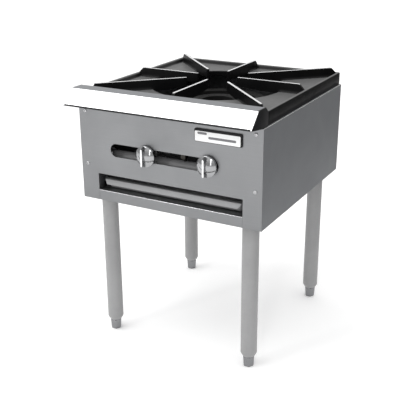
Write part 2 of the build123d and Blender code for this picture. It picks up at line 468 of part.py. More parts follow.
# ---- burners and what carries them ----
OUTER_MEAN, INNER_MEAN = sum(OUTER_RING) / 2, sum(INNER_RING) / 2
RISER = {"left": (VALVE_X["left"], CENTRE_Y - sqrt(OUTER_MEAN ** 2 - VALVE_X["left"] ** 2)),
         "right": (INNER_MEAN, CENTRE_Y)}
BOSS_R, RISER_IN, RISER_WALL = 6.0, 2.0, 5.0
PORT_R, PORT_DEPTH = 1.6, 4.5
for name, ring, label, ports in (("left", OUTER_RING, "outer_ring_burner", 40),
                                 ("right", INNER_RING, "inner_ring_burner", 20)):
    x, (riser_x, riser_y) = VALVE_X[name], RISER[name]
    mean = sum(ring) / 2
    with BuildPart() as burner:
        post(0, CENTRE_Y, ring[1], RING_Z, RING_Z + RING_H)
        post(0, CENTRE_Y, ring[0], RING_Z, RING_Z + RING_H, Mode.SUBTRACT)
        rod(x, STEM_Z, TUBE_R, MOUTH_Y, riser_y + (TUBE_R if riser_x != x else 0))
        rod(x, STEM_Z, MOUTH_R, MOUTH_Y, MOUTH_Y + MOUTH_L)
        if riser_x != x:
            with Locations(((x + riser_x) / 2, riser_y, STEM_Z)):
                Cylinder(TUBE_R, x - riser_x, rotation=(0, 90, 0))
        with Locations((riser_x, riser_y, STEM_Z)):
            Sphere(TUBE_R)
        post(riser_x, riser_y, TUBE_R - RISER_IN, STEM_Z, RING_Z)
        for sx in (-1, 1):
            for sy in (-1, 1):
                post(sx * sqrt(mean ** 2 - BAR_Y ** 2), CENTRE_Y + sy * BAR_Y, BOSS_R, BAR_TOP, RING_Z)
        post(0, CENTRE_Y, ring[1] - RING_WALL, RING_Z + RING_WALL, RING_Z + RING_H - RING_WALL,
             Mode.SUBTRACT)
        post(0, CENTRE_Y, ring[0] + RING_WALL, RING_Z + RING_WALL, RING_Z + RING_H - RING_WALL)
        post(0, CENTRE_Y, ring[0], RING_Z, RING_Z + RING_H, Mode.SUBTRACT)
        rod(x, STEM_Z, TUBE_BORE, MOUTH_Y, riser_y + (0 if riser_x == x else TUBE_BORE / 2),
            Mode.SUBTRACT)
        if riser_x != x:
            with Locations(((x + riser_x) / 2, riser_y, STEM_Z)):
                Cylinder(TUBE_BORE, x - riser_x, rotation=(0, 90, 0), mode=Mode.SUBTRACT)
        post(riser_x, riser_y, TUBE_R - RISER_WALL, STEM_Z, RING_Z + RING_WALL + 1, Mode.SUBTRACT)
        with Locations((0, CENTRE_Y, RING_Z + RING_H)):
            with PolarLocations(mean, ports):
                Cylinder(PORT_R, 2 * PORT_DEPTH, mode=Mode.SUBTRACT)
    burner.part.label = label
    export_step(burner.part, f"parts/{label}.step")

for end, sy in (("front", -1), ("rear", 1)):
    with BuildPart() as crossbar:
        y = CENTRE_Y + sy * BAR_Y
        span((-INNER_W, INNER_W), (y - BAR_W / 2, y + BAR_W / 2), (BAR_TOP - BAR_T, BAR_TOP))
        for edge in (y - BAR_W / 2, y + BAR_W / 2 - BAR_T):
            span((-INNER_W, INNER_W), (edge, edge + BAR_T), (BAR_TOP - BAR_H, BAR_TOP))
    crossbar.part.label = f"{end}_burner_crossbar"
    export_step(crossbar.part, f"parts/{end}_burner_crossbar.step")

with BuildPart() as control_shield:
    span((-INNER_W, INNER_W), (SHIELD_Y, SHIELD_Y + SHEET), (SHIELD_BOTTOM, SHIELD_TOP))
    span((-INNER_W, INNER_W), (SHIELD_Y - SHIELD_FOLD, SHIELD_Y),
         (SHIELD_BOTTOM, SHIELD_BOTTOM + SHEET))
    for x in VALVE_X.values():
        rod(x, STEM_Z, TUBE_R + SHIELD_HOLE, SHIELD_Y, SHIELD_Y + SHEET, Mode.SUBTRACT)
    rod(SUPPLY_X, MANIFOLD_Z, PIPE_R + SHIELD_HOLE, SHIELD_Y, SHIELD_Y + SHEET, Mode.SUBTRACT)
    rod(PILOT_X, STEM_Z, PILOT_TUBE_R + SHIELD_HOLE, SHIELD_Y, SHIELD_Y + SHEET, Mode.SUBTRACT)
control_shield.part.label = "control_shield"
export_step(control_shield.part, "parts/control_shield.step")

# ---- pilot ----
with BuildPart() as pilot_valve:
    post(PILOT_X, MANIFOLD_Y, PILOT_NIPPLE_R, NIPPLE_FOOT, STEM_Z)
    rod(PILOT_X, STEM_Z, PILOT_VALVE_R, PILOT_VALVE_FRONT, PILOT_VALVE_REAR)
    rod(PILOT_X, STEM_Z, PILOT_TUBE_R + PIPE_FIT, PILOT_TUBE_START, PILOT_VALVE_REAR, Mode.SUBTRACT)
pilot_valve.part.label = "pilot_valve"
export_step(pilot_valve.part, "parts/pilot_valve.step")

with BuildPart() as pilot_tube:
    with BuildLine() as route:
        FilletPolyline((PILOT_X, PILOT_TUBE_START, STEM_Z), (PILOT_X, PILOT_Y, STEM_Z),
                       (PILOT_X, PILOT_Y, PILOT_TOP), radius=PILOT_BEND)
    with BuildSketch(Plane.XZ.offset(-PILOT_TUBE_START)):
        with Locations((PILOT_X, STEM_Z)):
            Circle(PILOT_TUBE_R)
    sweep()
pilot_tube.part.label = "pilot_tube"
export_step(pilot_tube.part, "parts/pilot_tube.step")

with BuildPart() as pilot_burner:
    head_top = PILOT_TOP + PILOT_HEAD_H
    post(PILOT_X, PILOT_Y, PILOT_HEAD_R, PILOT_TOP, head_top)
    post(PILOT_X, PILOT_Y, PILOT_HEAD_BORE, PILOT_TOP + PILOT_FLOOR, head_top, Mode.SUBTRACT)
    span((PILOT_X - PILOT_NOTCH_W / 2, PILOT_X + PILOT_NOTCH_W / 2),
         (PILOT_Y, PILOT_Y + PILOT_NOTCH_REACH), (head_top - PILOT_NOTCH_H, head_top), Mode.SUBTRACT)
pilot_burner.part.label = "pilot_burner"
export_step(pilot_burner.part, "parts/pilot_burner.step")

with BuildPart() as pilot_bracket:
    wide = (PILOT_X - BRACKET_HALF, PILOT_X + BRACKET_HALF)
    rear = SHIELD_Y + SHEET
    span(wide, (rear, rear + BRACKET_T), (BRACKET_BOTTOM, BRACKET_TOP))
    span(wide, (rear, PILOT_Y + BRACKET_REACH), (BRACKET_TOP - BRACKET_T, BRACKET_TOP))
    post(PILOT_X, PILOT_Y, PILOT_TUBE_R + HOLE_CLEAR, BRACKET_BOTTOM, BRACKET_TOP, Mode.SUBTRACT)
pilot_bracket.part.label = "pilot_bracket"
export_step(pilot_bracket.part, "parts/pilot_bracket.step")

# ---- drip tray and its guides ----
LIP_TOP, LIP_BOTTOM = (FRONT + 14.0, TRAY_RIM), (FRONT + 8.0, 398.0)
LIP_T, LIP_BEND, LIP_SLANT, LIP_OVER = 1.3, 0.8, 8.0, 1.0
with BuildPart() as drip_tray:
    span((-TRAY_W, TRAY_W), (TRAY_FRONT, TRAY_BACK), (TRAY_Z, TRAY_RIM))
    span((-TRAY_W + SHEET, TRAY_W - SHEET), (TRAY_FRONT + SHEET, TRAY_BACK - SHEET),
         (TRAY_Z + SHEET, TRAY_RIM), Mode.SUBTRACT)
    span((-TRAY_LIP_W, TRAY_LIP_W), (LIP_TOP[0], TRAY_FRONT + SHEET), (TRAY_RIM - SHEET, TRAY_RIM))
    with BuildSketch(Plane.YZ.offset(-TRAY_LIP_W)):
        with BuildLine():
            Polyline(LIP_TOP, LIP_BOTTOM, (LIP_BOTTOM[0] + LIP_T, LIP_BOTTOM[1]),
                     (LIP_TOP[0] + LIP_BEND, TRAY_RIM - SHEET), (LIP_TOP[0] + LIP_BEND, TRAY_RIM), close=True)
        make_face()
    extrude(amount=2 * TRAY_LIP_W)
    # the lip's ends slant inwards below its bend
    for side in (-1, 1):
        with BuildSketch(Plane.XZ.offset(-LIP_BOTTOM[0] + LIP_OVER)):
            with BuildLine():
                Polyline((side * (TRAY_LIP_W + LIP_OVER), LIP_BOTTOM[1] - LIP_OVER),
                         (side * (TRAY_LIP_W + LIP_OVER), LIP_TOP[1] - SHEET),
                         (side * TRAY_LIP_W, LIP_TOP[1] - SHEET),
                         (side * (TRAY_LIP_W - LIP_SLANT), LIP_BOTTOM[1] - LIP_OVER), close=True)
            make_face()
        extrude(amount=LIP_BOTTOM[0] - TRAY_FRONT + LIP_OVER, mode=Mode.SUBTRACT)
drip_tray.part.label = "drip_tray"
export_step(drip_tray.part, "parts/drip_tray.step")

GUIDE_T, GUIDE_IN, GUIDE_OUT, GUIDE_TOP = 1.5, 156.0, 183.5, 412.0
GUIDE_RUN = (FRONT + RAIL_FLANGE + 1.0, BACK - 8.0)
for name, side in SIDES:
    with BuildPart() as guide:
        span(mirrored(side, GUIDE_IN, GUIDE_OUT), GUIDE_RUN, (CHANNEL_TOP, CHANNEL_TOP + GUIDE_T))
        span(mirrored(side, GUIDE_OUT - GUIDE_T, GUIDE_OUT), GUIDE_RUN, (CHANNEL_TOP, GUIDE_TOP))
    guide.part.label = f"{name}_tray_guide"
    export_step(guide.part, f"parts/{name}_tray_guide.step")

# ---- badge and screws ----
with BuildPart() as badge_plate:
    with BuildSketch(Plane.XZ.offset(-FRONT)):
        with Locations((sum(BADGE_X) / 2, BADGE_MID_Z)):
            RectangleRounded(BADGE_X[1] - BADGE_X[0], BADGE_Z[1] - BADGE_Z[0], BADGE_CORNER)
    extrude(amount=BADGE_T)
badge_plate.part.label = "badge_plate"
export_step(badge_plate.part, "parts/badge_plate.step")

with BuildPart() as badge_studs:
    for x in STUD_X:
        rod(x, BADGE_MID_Z, STUD_R, FRONT, FRONT + STUD_L)
        rod(x, BADGE_MID_Z, STUD_R + STUD_NUT, FRONT + SHEET, FRONT + SHEET + STUD_NUT_T)
badge_studs.part.label = "badge_studs"
export_step(badge_studs.part, "parts/badge_studs.step")

for label, face, facing, places in (
        ("front_panel_screws", FRONT, -1, [(s * SCREW_X, z) for s in (-1, 1) for z in SCREW_Z]),
        ("rear_panel_screws", BACK, 1, [(x, z) for x in REAR_SCREW_X for z in REAR_SCREW_Z])):
    with BuildPart() as screws:
        for x, z in places:
            head = sorted((face, face + facing * SCREW_HEAD_H))
            shank = sorted((face, face - facing * SCREW_L))
            rod(x, z, SCREW_HEAD_R, *head)
            rod(x, z, SCREW_R, *shank)
    screws.part.label = label
    export_step(screws.part, f"parts/{label}.step")
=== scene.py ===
import json
from math import pi, radians

import bmesh
import bpy
import numpy as np
from mathutils import Euler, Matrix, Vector


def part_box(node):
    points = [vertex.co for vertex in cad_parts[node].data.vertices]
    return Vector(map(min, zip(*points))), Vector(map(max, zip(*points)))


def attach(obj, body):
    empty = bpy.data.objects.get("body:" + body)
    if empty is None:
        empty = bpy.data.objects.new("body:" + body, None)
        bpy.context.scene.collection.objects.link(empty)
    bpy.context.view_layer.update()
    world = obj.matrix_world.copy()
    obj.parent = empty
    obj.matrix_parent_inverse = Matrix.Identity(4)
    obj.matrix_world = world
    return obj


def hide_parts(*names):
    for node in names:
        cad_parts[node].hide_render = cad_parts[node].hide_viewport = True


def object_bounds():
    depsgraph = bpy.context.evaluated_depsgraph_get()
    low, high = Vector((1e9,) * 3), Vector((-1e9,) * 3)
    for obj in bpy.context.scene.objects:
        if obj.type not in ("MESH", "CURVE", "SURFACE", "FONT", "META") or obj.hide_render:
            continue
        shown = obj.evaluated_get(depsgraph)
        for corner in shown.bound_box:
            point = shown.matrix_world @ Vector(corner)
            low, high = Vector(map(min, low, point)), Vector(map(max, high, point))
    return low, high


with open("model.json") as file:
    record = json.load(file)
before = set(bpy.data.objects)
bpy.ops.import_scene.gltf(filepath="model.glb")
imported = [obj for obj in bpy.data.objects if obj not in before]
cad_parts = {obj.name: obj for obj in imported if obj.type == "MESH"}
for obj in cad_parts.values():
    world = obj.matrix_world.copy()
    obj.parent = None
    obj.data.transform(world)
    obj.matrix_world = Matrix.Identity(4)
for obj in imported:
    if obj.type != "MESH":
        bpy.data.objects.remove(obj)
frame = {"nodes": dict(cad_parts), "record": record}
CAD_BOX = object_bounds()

bl_info = {
    "name": "Stock Pot Range",
    "version": (1, 0, 0),
    "blender": (4, 5, 0),
    "location": "3D View > Sidebar > Range",
    "description": "Finishes a stock pot range: sheet metal, castings, knobs, legs and light",
    "category": "Add Mesh",
}

MM = 0.001
# points closer than this are one point, and faces closer than this in angle are one face
SAME, FLAT = 0.002 * MM, radians(0.6)
# points closer than this to a level count as on it
EVEN = 0.01 * MM
RECORD = frame["record"]
SLOT_OF = {part["node"]: part["material_slot"] for part in RECORD["subparts"]}
BODY_OF = {node: body for body, nodes in RECORD["behaviour"]["bodies"].items() for node in nodes}


def corners(node):
    """The lowest and highest corner of a frame node, as two arrays in metres."""
    low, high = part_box(node)
    return np.array(low), np.array(high)


# ---------------------------------------------------------------- settings

def metres(name, description, default):
    """A size that a user may change."""
    return bpy.props.FloatProperty(name=name, description=description, unit="LENGTH", default=default)


def tint(name, description, *default):
    """A colour that a user may change."""
    return bpy.props.FloatVectorProperty(name=name, description=description, subtype="COLOR", size=3,
                                         default=default)


class RangeStageSettings(bpy.types.PropertyGroup):
    """Where the camera stands and how bright the lights are."""
    azimuth: bpy.props.FloatProperty(
        name="Camera azimuth", description="Turn of the camera round the range", subtype="ANGLE",
        default=radians(28.445))
    drop: bpy.props.FloatProperty(
        name="Camera drop", description="How far the camera looks down", subtype="ANGLE",
        default=radians(20.855))
    roll: bpy.props.FloatProperty(
        name="Camera roll", description="Tilt of the picture", subtype="ANGLE", default=radians(-0.237))
    distance: metres("Camera distance", "From the point looked at to the camera", 1.9337)
    aim: bpy.props.FloatVectorProperty(
        name="Aim", description="The point looked at, from the middle of the footprint", unit="LENGTH",
        size=3, default=(-0.0237, 0.0, 0.3173))
    lens: bpy.props.FloatProperty(
        name="Lens", description="Focal length in mm on a 36 mm sensor", default=69.9)
    shift: bpy.props.FloatVectorProperty(
        name="Shift", description="Shift of the picture, as a share of its width", size=2,
        default=(-0.0118, -0.003))
    overhead: bpy.props.FloatProperty(
        name="Overhead light", description="Power of the soft box above", unit="POWER", default=24.0)
    front: bpy.props.FloatProperty(
        name="Front light", description="Power of each strip box in front", unit="POWER", default=22.0)
    room: bpy.props.FloatProperty(
        name="Room light", description="Strength of the even light from above", default=1.25)
    horizon: bpy.props.FloatProperty(
        name="Horizon light", description="Strength of the light near the horizon", default=0.6)
    glow: bpy.props.FloatProperty(
        name="Floor glow", description="Light that the floor gives off, which thins its shadows",
        default=0.12)
    flag: bpy.props.FloatProperty(
        name="Flag", description="Tone of the black cloths that the metal mirrors", default=0.03)
    floor: tint("Floor colour", "Colour of the plain floor", 0.97, 0.97, 0.97)


class RangeShapeSettings(bpy.types.PropertyGroup):
    """Small sizes that the frame leaves plain."""
    bend: metres("Bend radius", "Outer radius of the ledge's bends", 0.0032)
    sheet_edge: metres("Sheet edge", "Rounding of the sheet metal's edges", 0.0005)
    rib_edge: metres("Rib edge", "Rounding along the top of each rib", 0.0009)
    rib_draft: metres("Rib draft", "How much wider a rib is at its foot", 0.0022)
    rib_fillet: metres("Rib fillet", "Spread of a rib where it meets the plate", 0.0035)
    knob_edge: metres("Knob edge", "Rounding of the knob's skirt and wing", 0.0012)


class RangeFinishSettings(bpy.types.PropertyGroup):
    """The base colour of every finish."""
    front_steel: tint("Front", "Brushed sheet of the front panel and rail", 0.27, 0.274, 0.281)
    side_steel: tint("Sides", "Darker satin sheet of the side panels", 0.232, 0.239, 0.251)
    ledge_steel: tint("Ledge", "Bright brushed sheet of the front ledge", 0.88, 0.88, 0.885)
    plain_steel: tint("Inner sheet", "Dull coated sheet inside and behind", 0.22, 0.222, 0.227)
    tray_steel: tint("Tray", "Sheet of the drip tray", 0.27, 0.272, 0.277)
    # the enamel also paints the shadow line along the foot of the ledge's nose
    enamel: tint("Enamel", "Black enamel of the ledge's end caps and hem", 0.008, 0.008, 0.009)
    cast_top: tint("Cast top", "Black skin of the cast top", 0.004, 0.004, 0.0042)
    # this colour also paints the highlight on the knobs' wing edges
    ground_iron: tint("Ground iron", "Bright ground faces on top of the ribs", 0.86, 0.86, 0.865)
    burner_iron: tint("Burners", "Raw cast iron of the ring burners", 0.012, 0.0118, 0.0115)
    # the brass is nearly black: painted shade on the brass parts inside the slot
    brass: tint("Brass", "Aged brass of the spindles and hoods", 0.05, 0.048, 0.044)
    valve_metal: tint("Valves", "Die-cast valve bodies", 0.30, 0.30, 0.295)
    chrome: tint("Knobs", "Plating of the knobs", 0.35, 0.353, 0.36)
    pipe_black: tint("Pipe", "Manifold, elbow and supply pipe", 0.24, 0.24, 0.245)
    pilot_aluminium: tint("Pilot tube", "Soft aluminium tube of the pilot", 0.45, 0.45, 0.46)
    badge_white: tint("Badge", "Face of the blank badge", 0.95, 0.95, 0.95)
    badge_mark: tint("Badge bars", "Plain bars on the badge", 0.18, 0.18, 0.19)
    screw_steel: tint("Screws", "Plated screws and bolts", 0.55, 0.55, 0.56)
    leg_steel: tint("Legs", "Grey paint of the leg tubes", 0.285, 0.285, 0.287)
    foot_metal: tint("Feet", "Dull die-cast metal of the feet", 0.26, 0.263, 0.27)


# ---------------------------------------------------------------- mesh helpers

def placed(name, data):
    """A new object at the origin, in the scene."""
    made = bpy.data.objects.new(name, data)
    bpy.context.scene.collection.objects.link(made)
    return made


def new_object(name, verts, faces, smooth_angle=radians(35)):
    """A mesh object at the origin from points and faces, smooth except at edges over the given angle."""
    mesh = bpy.data.meshes.new(name)
    mesh.from_pydata(np.asarray(verts).tolist(), [], faces)
    mesh.validate()
    work = bmesh.new()
    work.from_mesh(mesh)
    bmesh.ops.remove_doubles(work, verts=work.verts, dist=1e-7)
    bmesh.ops.recalc_face_normals(work, faces=work.faces)
    work.to_mesh(mesh)
    work.free()
    mesh.shade_smooth()
    mesh.set_sharp_from_angle(angle=smooth_angle)
    return placed(name, mesh)


def tube_faces(rows, columns, ring=False):
    """Quads of a grid whose columns close on themselves, and whose rows do too when ring is set."""
    last = rows if ring else rows - 1
    i, j = np.meshgrid(np.arange(last), np.arange(columns), indexing="ij")
    a = i * columns + j
    b = i * columns + (j + 1) % columns
    c = ((i + 1) % rows) * columns + (j + 1) % columns
    d = ((i + 1) % rows) * columns + j
    return np.stack([a, b, c, d], -1).reshape(-1, 4).tolist()


def capped(points):
    """Points and faces of a tube given as rows of closed loops, with a flat cap at each end."""
    rows, columns = points.shape[:2]
    faces = tube_faces(rows, columns)
    faces.append(list(range(columns)))
    faces.append(list(range((rows - 1) * columns, rows * columns)))
    return points.reshape(-1, 3), faces


def joined(parts):
    """One set of points and faces out of several."""
    verts, faces, start = [], [], 0
    for points, quads in parts:
        verts.append(points)
        faces += [[index + start for index in face] for face in quads]
        start += len(points)
    return np.concatenate(verts), faces


def rounded_path(points, radii, steps=6):
    """A path of straight runs joined by arcs.

    At each inner corner the arc touches both runs, so it starts at radius times the tangent of half the
    turn before the corner, and its centre lies on the line that halves the corner.
    """
    points = np.asarray(points, float)
    out = [points[0]]
    for before, corner, after, radius in zip(points[:-2], points[1:-1], points[2:], radii):
        u = (before - corner) / np.linalg.norm(before - corner)
        w = (after - corner) / np.linalg.norm(after - corner)
        half = np.arccos(np.clip(u @ w, -1, 1)) / 2
        reach = radius / np.tan(half)
        middle = corner + (u + w) / np.linalg.norm(u + w) * radius / np.sin(half)
        start, stop = corner + u * reach - middle, corner + w * reach - middle
        turn = pi - 2 * half
        t = np.linspace(0, 1, steps + 1)[:, None]
        arc = (np.sin((1 - t) * turn) * start + np.sin(t * turn) * stop) / np.sin(turn)
        out.extend(middle + arc)
    out.append(points[-1])
    return np.array(out)


def rounded_loop(points, radius, steps=5):
    """A closed outline with every corner rounded by an arc of one radius."""
    points = np.asarray(points, float)
    middle = (points[0] + points[-1]) / 2
    path = rounded_path([middle, *points, middle], [radius] * len(points), steps)
    return path[:-1]


def strip_loop(path, thickness):
    """The outline of a bent sheet: the path moved by half the thickness to each side along its normals."""
    tangent = np.gradient(path, axis=0)
    tangent /= np.linalg.norm(tangent, axis=1, keepdims=True)
    normal = np.stack([-tangent[:, 1], tangent[:, 0]], -1) * thickness / 2
    return np.concatenate([path + normal, (path - normal)[::-1]])


def inset_loop(loop, amount):
    """A closed outline moved inwards by amount along the mean of its two neighbouring normals."""
    step = np.roll(loop, -1, 0) - loop
    step /= np.linalg.norm(step, axis=1, keepdims=True)
    normal = np.stack([-step[:, 1], step[:, 0]], -1)
    mean = normal + np.roll(normal, 1, 0)
    mean /= np.maximum((mean * mean).sum(1, keepdims=True) / 2, 0.3)
    area = 0.5 * np.sum(loop[:, 0] * np.roll(loop[:, 1], -1) - np.roll(loop[:, 0], -1) * loop[:, 1])
    return loop + mean * amount * np.sign(area)


def plate(loop, low, high, edge, place, steps=3):
    """A flat plate with rounded rims, as points and faces.

    The outline is carried from low to high. Over the first and last edge it moves in along a quarter
    circle. place turns outline and height into points in space.
    """
    angle = np.linspace(0, pi / 2, steps + 1)
    inset = np.concatenate([edge * (1 - np.sin(angle)), edge * (1 - np.cos(angle))])
    height = np.concatenate([low + edge * (1 - np.cos(angle)), high - edge * (1 - np.sin(angle))])
    rows = [place(inset_loop(loop, a), h) for a, h in zip(inset, height)]
    return capped(np.array(rows))


def lathe(profile, centre, axis="Z", segments=96):
    """A turned piece: the profile's radius and height carried round an axis, as points and faces.

    The profile starts and ends on or near the axis, and each end is closed by a flat cap.
    """
    angle = np.linspace(0, 2 * pi, segments, endpoint=False)
    radius, height = profile[:, :1], profile[:, 1:]
    across, up = radius * np.cos(angle), radius * np.sin(angle)
    along = np.broadcast_to(height, across.shape)
    order = {"Y": (across, along, up), "Z": (across, up, along)}[axis]
    return capped(np.stack(order, -1) + np.asarray(centre))


def oblong(width, length, points=48):
    """A closed outline of two half circles joined by straight sides, of the given width and length."""
    angle = np.linspace(0, 2 * pi, points, endpoint=False)
    radius = width / 2
    x, y = radius * np.cos(angle), radius * np.sin(angle)
    upper = np.where(np.sin(angle) < 0, -1, 1)
    return np.stack([x, y + upper * (length / 2 - radius)], -1)


def rounded_rectangle(width, height, radius, steps=6, centre=(0, 0)):
    """A closed outline of a rectangle with quarter-circle corners."""
    t = np.linspace(0, pi / 2, steps + 1)
    loops = []
    for quarter, (sx, sy) in enumerate(((1, 1), (-1, 1), (-1, -1), (1, -1))):
        angle = t + quarter * pi / 2
        loops.append(np.stack([sx * (width / 2 - radius) + radius * np.cos(angle),
                               sy * (height / 2 - radius) + radius * np.sin(angle)], -1))
    return np.concatenate(loops) + np.asarray(centre)


def finish_piece(piece, node, *materials):
    """Rides with the node's body, stands for the node and takes the given materials."""
    for material in materials:
        piece.data.materials.append(material)
    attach(piece, BODY_OF[node])
    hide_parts(node)
    return piece


def face_values(piece, kind):
    """The middle or the normal of every face, as rows of three."""
    faces = piece.data.polygons
    values = np.empty(len(faces) * 3)
    faces.foreach_get(kind, values)
    return values.reshape(-1, 3)


def finish_faces(piece, index):
    """Gives each face the finish at its index among the piece's materials."""
    piece.data.polygons.foreach_set("material_index", np.asarray(index).astype(int))


def softened(node, width, material):
    """A merged copy of a frame node with rounded edges, which stands for it."""
    source = frame["nodes"][node]
    mesh = source.data.copy()
    mesh.name = node + "_rounded"
    work = bmesh.new()
    work.from_mesh(mesh)
    bmesh.ops.remove_doubles(work, verts=work.verts, dist=SAME)
    bmesh.ops.dissolve_limit(work, angle_limit=FLAT, verts=work.verts, edges=work.edges)
    work.to_mesh(mesh)
    work.free()
    mesh.materials.clear()
    piece = placed(node + "_rounded", mesh)
    mesh.shade_smooth()
    mesh.set_sharp_from_angle(angle=radians(35))
    bevel = piece.modifiers.new("edge", "BEVEL")
    bevel.width = width
    bevel.segments = 2
    bevel.limit_method = "ANGLE"
    bevel.angle_limit = radians(40)
    bevel.harden_normals = True
    return finish_piece(piece, node, material)


def highlighted_top(piece, outward, width, material):
    """The cut edge along the top of a sheet, on its outer side: rounded over, with a lighter finish as a
    painted highlight.
    """
    mesh = piece.data
    mesh.materials.append(material)
    work = bmesh.new()
    work.from_mesh(mesh)
    outward = Vector(outward)
    top = max(vert.co.z for vert in work.verts)
    face = max(vert.co.dot(outward) for vert in work.verts if vert.co.z > top - EVEN)
    edges = [edge for edge in work.edges
             if all(vert.co.z > top - EVEN and vert.co.dot(outward) > face - EVEN
                    for vert in edge.verts)]
    bmesh.ops.bevel(work, geom=edges, offset=width, offset_type="OFFSET", segments=3, profile=0.5,
                    affect="EDGES", material=1, clamp_overlap=True)
    work.to_mesh(mesh)
    work.free()


# ---------------------------------------------------------------- material helpers

def fill(tree, node, inputs):
    """Sets a node's inputs. A socket given as an input is linked, a value is set."""
    for key, value in inputs.items():
        if isinstance(value, bpy.types.NodeSocket):
            tree.links.new(value, node.inputs[key])
        else:
            node.inputs[key].default_value = value


def add(tree, kind, inputs=None, **settings):
    """A new node with its settings and inputs."""
    made = tree.nodes.new(kind)
    for key, value in settings.items():
        setattr(made, key, value)
    fill(tree, made, inputs or {})
    return made


def noise(tree, vector, scale, detail, rough=0.5, **more):
    """The value of a noise texture."""
    return add(tree, "ShaderNodeTexNoise", {"Vector": vector, "Scale": scale, "Detail": detail,
                                            "Roughness": rough, **more}).outputs["Fac"]


def maths(tree, operation, *values):
    """The result of one operation on values or sockets."""
    return add(tree, "ShaderNodeMath", dict(enumerate(values)), operation=operation).outputs["Value"]


def ranged(tree, value, low, high, start=0.3, stop=0.7):
    """A value spread from low to high as its source goes from start to stop."""
    return add(tree, "ShaderNodeMapRange",
               {"Value": value, "From Min": start, "From Max": stop, "To Min": low, "To Max": high}
               ).outputs["Result"]


def mix_value(tree, factor, low, high):
    """A value between low and high, by factor."""
    return add(tree, "ShaderNodeMix", {"Factor": factor, "A": low, "B": high}).outputs["Result"]


def mix_colour(tree, factor, low, high):
    """A colour between low and high, by factor."""
    return add(tree, "ShaderNodeMix", {0: factor, 6: low, 7: high}, data_type="RGBA").outputs[2]


def new_group(name, inputs, outputs):
    """An empty node group with named sockets, given as (name, kind, default) and (name, kind)."""
    tree = bpy.data.node_groups.new(name, "ShaderNodeTree")
    for label, kind, default in inputs:
        made = tree.interface.new_socket(label, in_out="INPUT", socket_type=kind)
        if default is not None:
            made.default_value = default
    for label, kind in outputs:
        tree.interface.new_socket(label, in_out="OUTPUT", socket_type=kind)
    return tree, tree.nodes.new("NodeGroupInput"), tree.nodes.new("NodeGroupOutput")


def brushed_group():
    """Long fine scratches over broad cloudy marks, for sheet that was brushed along one way."""
    tree, source, out = new_group(
        "brushed_grain",
        (("Vector", "NodeSocketVector", None), ("Marks", "NodeSocketFloat", 0.35)),
        (("Tone", "NodeSocketFloat"), ("Height", "NodeSocketFloat")))
    vector = source.outputs["Vector"]
    fine = noise(tree, vector, 1.0, 5.0, 0.7)
    broad = noise(tree, vector, 0.035, 3.0, 0.55)
    fill(tree, out, {"Tone": mix_value(tree, source.outputs["Marks"], fine, broad), "Height": fine})
    return tree


def cloud_group():
    """Two sizes of soft blotch, for handling marks, heat stains and uneven paint."""
    tree, source, out = new_group(
        "soft_clouds",
        (("Vector", "NodeSocketVector", None), ("Scale", "NodeSocketFloat", 9.0)),
        (("Tone", "NodeSocketFloat"), ("Spots", "NodeSocketFloat")))
    vector, scale = source.outputs["Vector"], source.outputs["Scale"]
    spots = noise(tree, vector, maths(tree, "MULTIPLY", scale, 11.0), 3.0, 0.6)
    fill(tree, out, {"Tone": noise(tree, vector, scale, 6.0, 0.6, Distortion=0.4),
                     "Spots": ranged(tree, spots, 0.0, 1.0, 0.52, 0.72)})
    return tree


def sand_cast_group():
    """The pebbled skin of a sand casting: two noises and the round pits between cells."""
    tree, source, out = new_group(
        "sand_cast",
        (("Vector", "NodeSocketVector", None), ("Scale", "NodeSocketFloat", 420.0)),
        (("Tone", "NodeSocketFloat"), ("Height", "NodeSocketFloat")))
    vector, scale = source.outputs["Vector"], source.outputs["Scale"]
    grain = noise(tree, vector, scale, 4.0, 0.65)
    pits = add(tree, "ShaderNodeTexVoronoi", {"Vector": vector, "Scale": scale}, feature="SMOOTH_F1")
    fill(tree, out, {"Tone": noise(tree, vector, 26.0, 5.0, 0.6),
                     "Height": maths(tree, "ADD", grain, pits.outputs["Distance"])})
    return tree


def upward_group():
    """How far a face looks straight up, softened by noise, for ground faces and for painted light from
    above.
    """
    tree, source, out = new_group(
        "upward_mask",
        (("Vector", "NodeSocketVector", None), ("From", "NodeSocketFloat", 0.8),
         ("To", "NodeSocketFloat", 0.98)),
        (("Mask", "NodeSocketFloat"),))
    shape = add(tree, "ShaderNodeNewGeometry")
    parts = add(tree, "ShaderNodeSeparateXYZ", {"Vector": shape.outputs["Normal"]})
    shake = maths(tree, "MULTIPLY_ADD", noise(tree, source.outputs["Vector"], 90.0, 4.0), 0.12, -0.06)
    level = maths(tree, "ADD", parts.outputs["Z"], shake)
    fill(tree, out, {"Mask": ranged(tree, level, 0.0, 1.0, source.outputs["From"],
                                    source.outputs["To"])})
    return tree


GROUPS = {}


def shared(tree, name, inputs):
    """The outputs of a shared node group in a material's tree. The group is made at its first use."""
    makers = {"brushed_grain": brushed_group, "soft_clouds": cloud_group, "sand_cast": sand_cast_group,
              "upward_mask": upward_group}
    if name not in GROUPS:
        GROUPS[name] = makers[name]()
    return add(tree, "ShaderNodeGroup", inputs, node_tree=GROUPS[name]).outputs


def blank_material(name):
    """A new node material: its tree, its shader and its object coordinates."""
    material = bpy.data.materials.new(name)
    material.use_nodes = True
    tree = material.node_tree
    shader = tree.nodes["Principled BSDF"]
    place = add(tree, "ShaderNodeTexCoord").outputs["Object"]
    return material, tree, shader, place


def shade(colour, factor):
    """A colour made lighter or darker, as four values."""
    return tuple(min(1.0, value * factor) for value in colour[:3]) + (1.0,)


def clouded(tree, tone, colour, low, high):
    """A colour that goes from low to high times itself with the clouds' tone."""
    return mix_colour(tree, ranged(tree, tone, 0.0, 1.0), shade(colour, low), shade(colour, high))


def bump(tree, height, distance, strength=0.5):
    """A normal bent by a height. The distance is in metres."""
    return add(tree, "ShaderNodeBump", {"Height": height, "Distance": distance, "Strength": strength}
               ).outputs["Normal"]


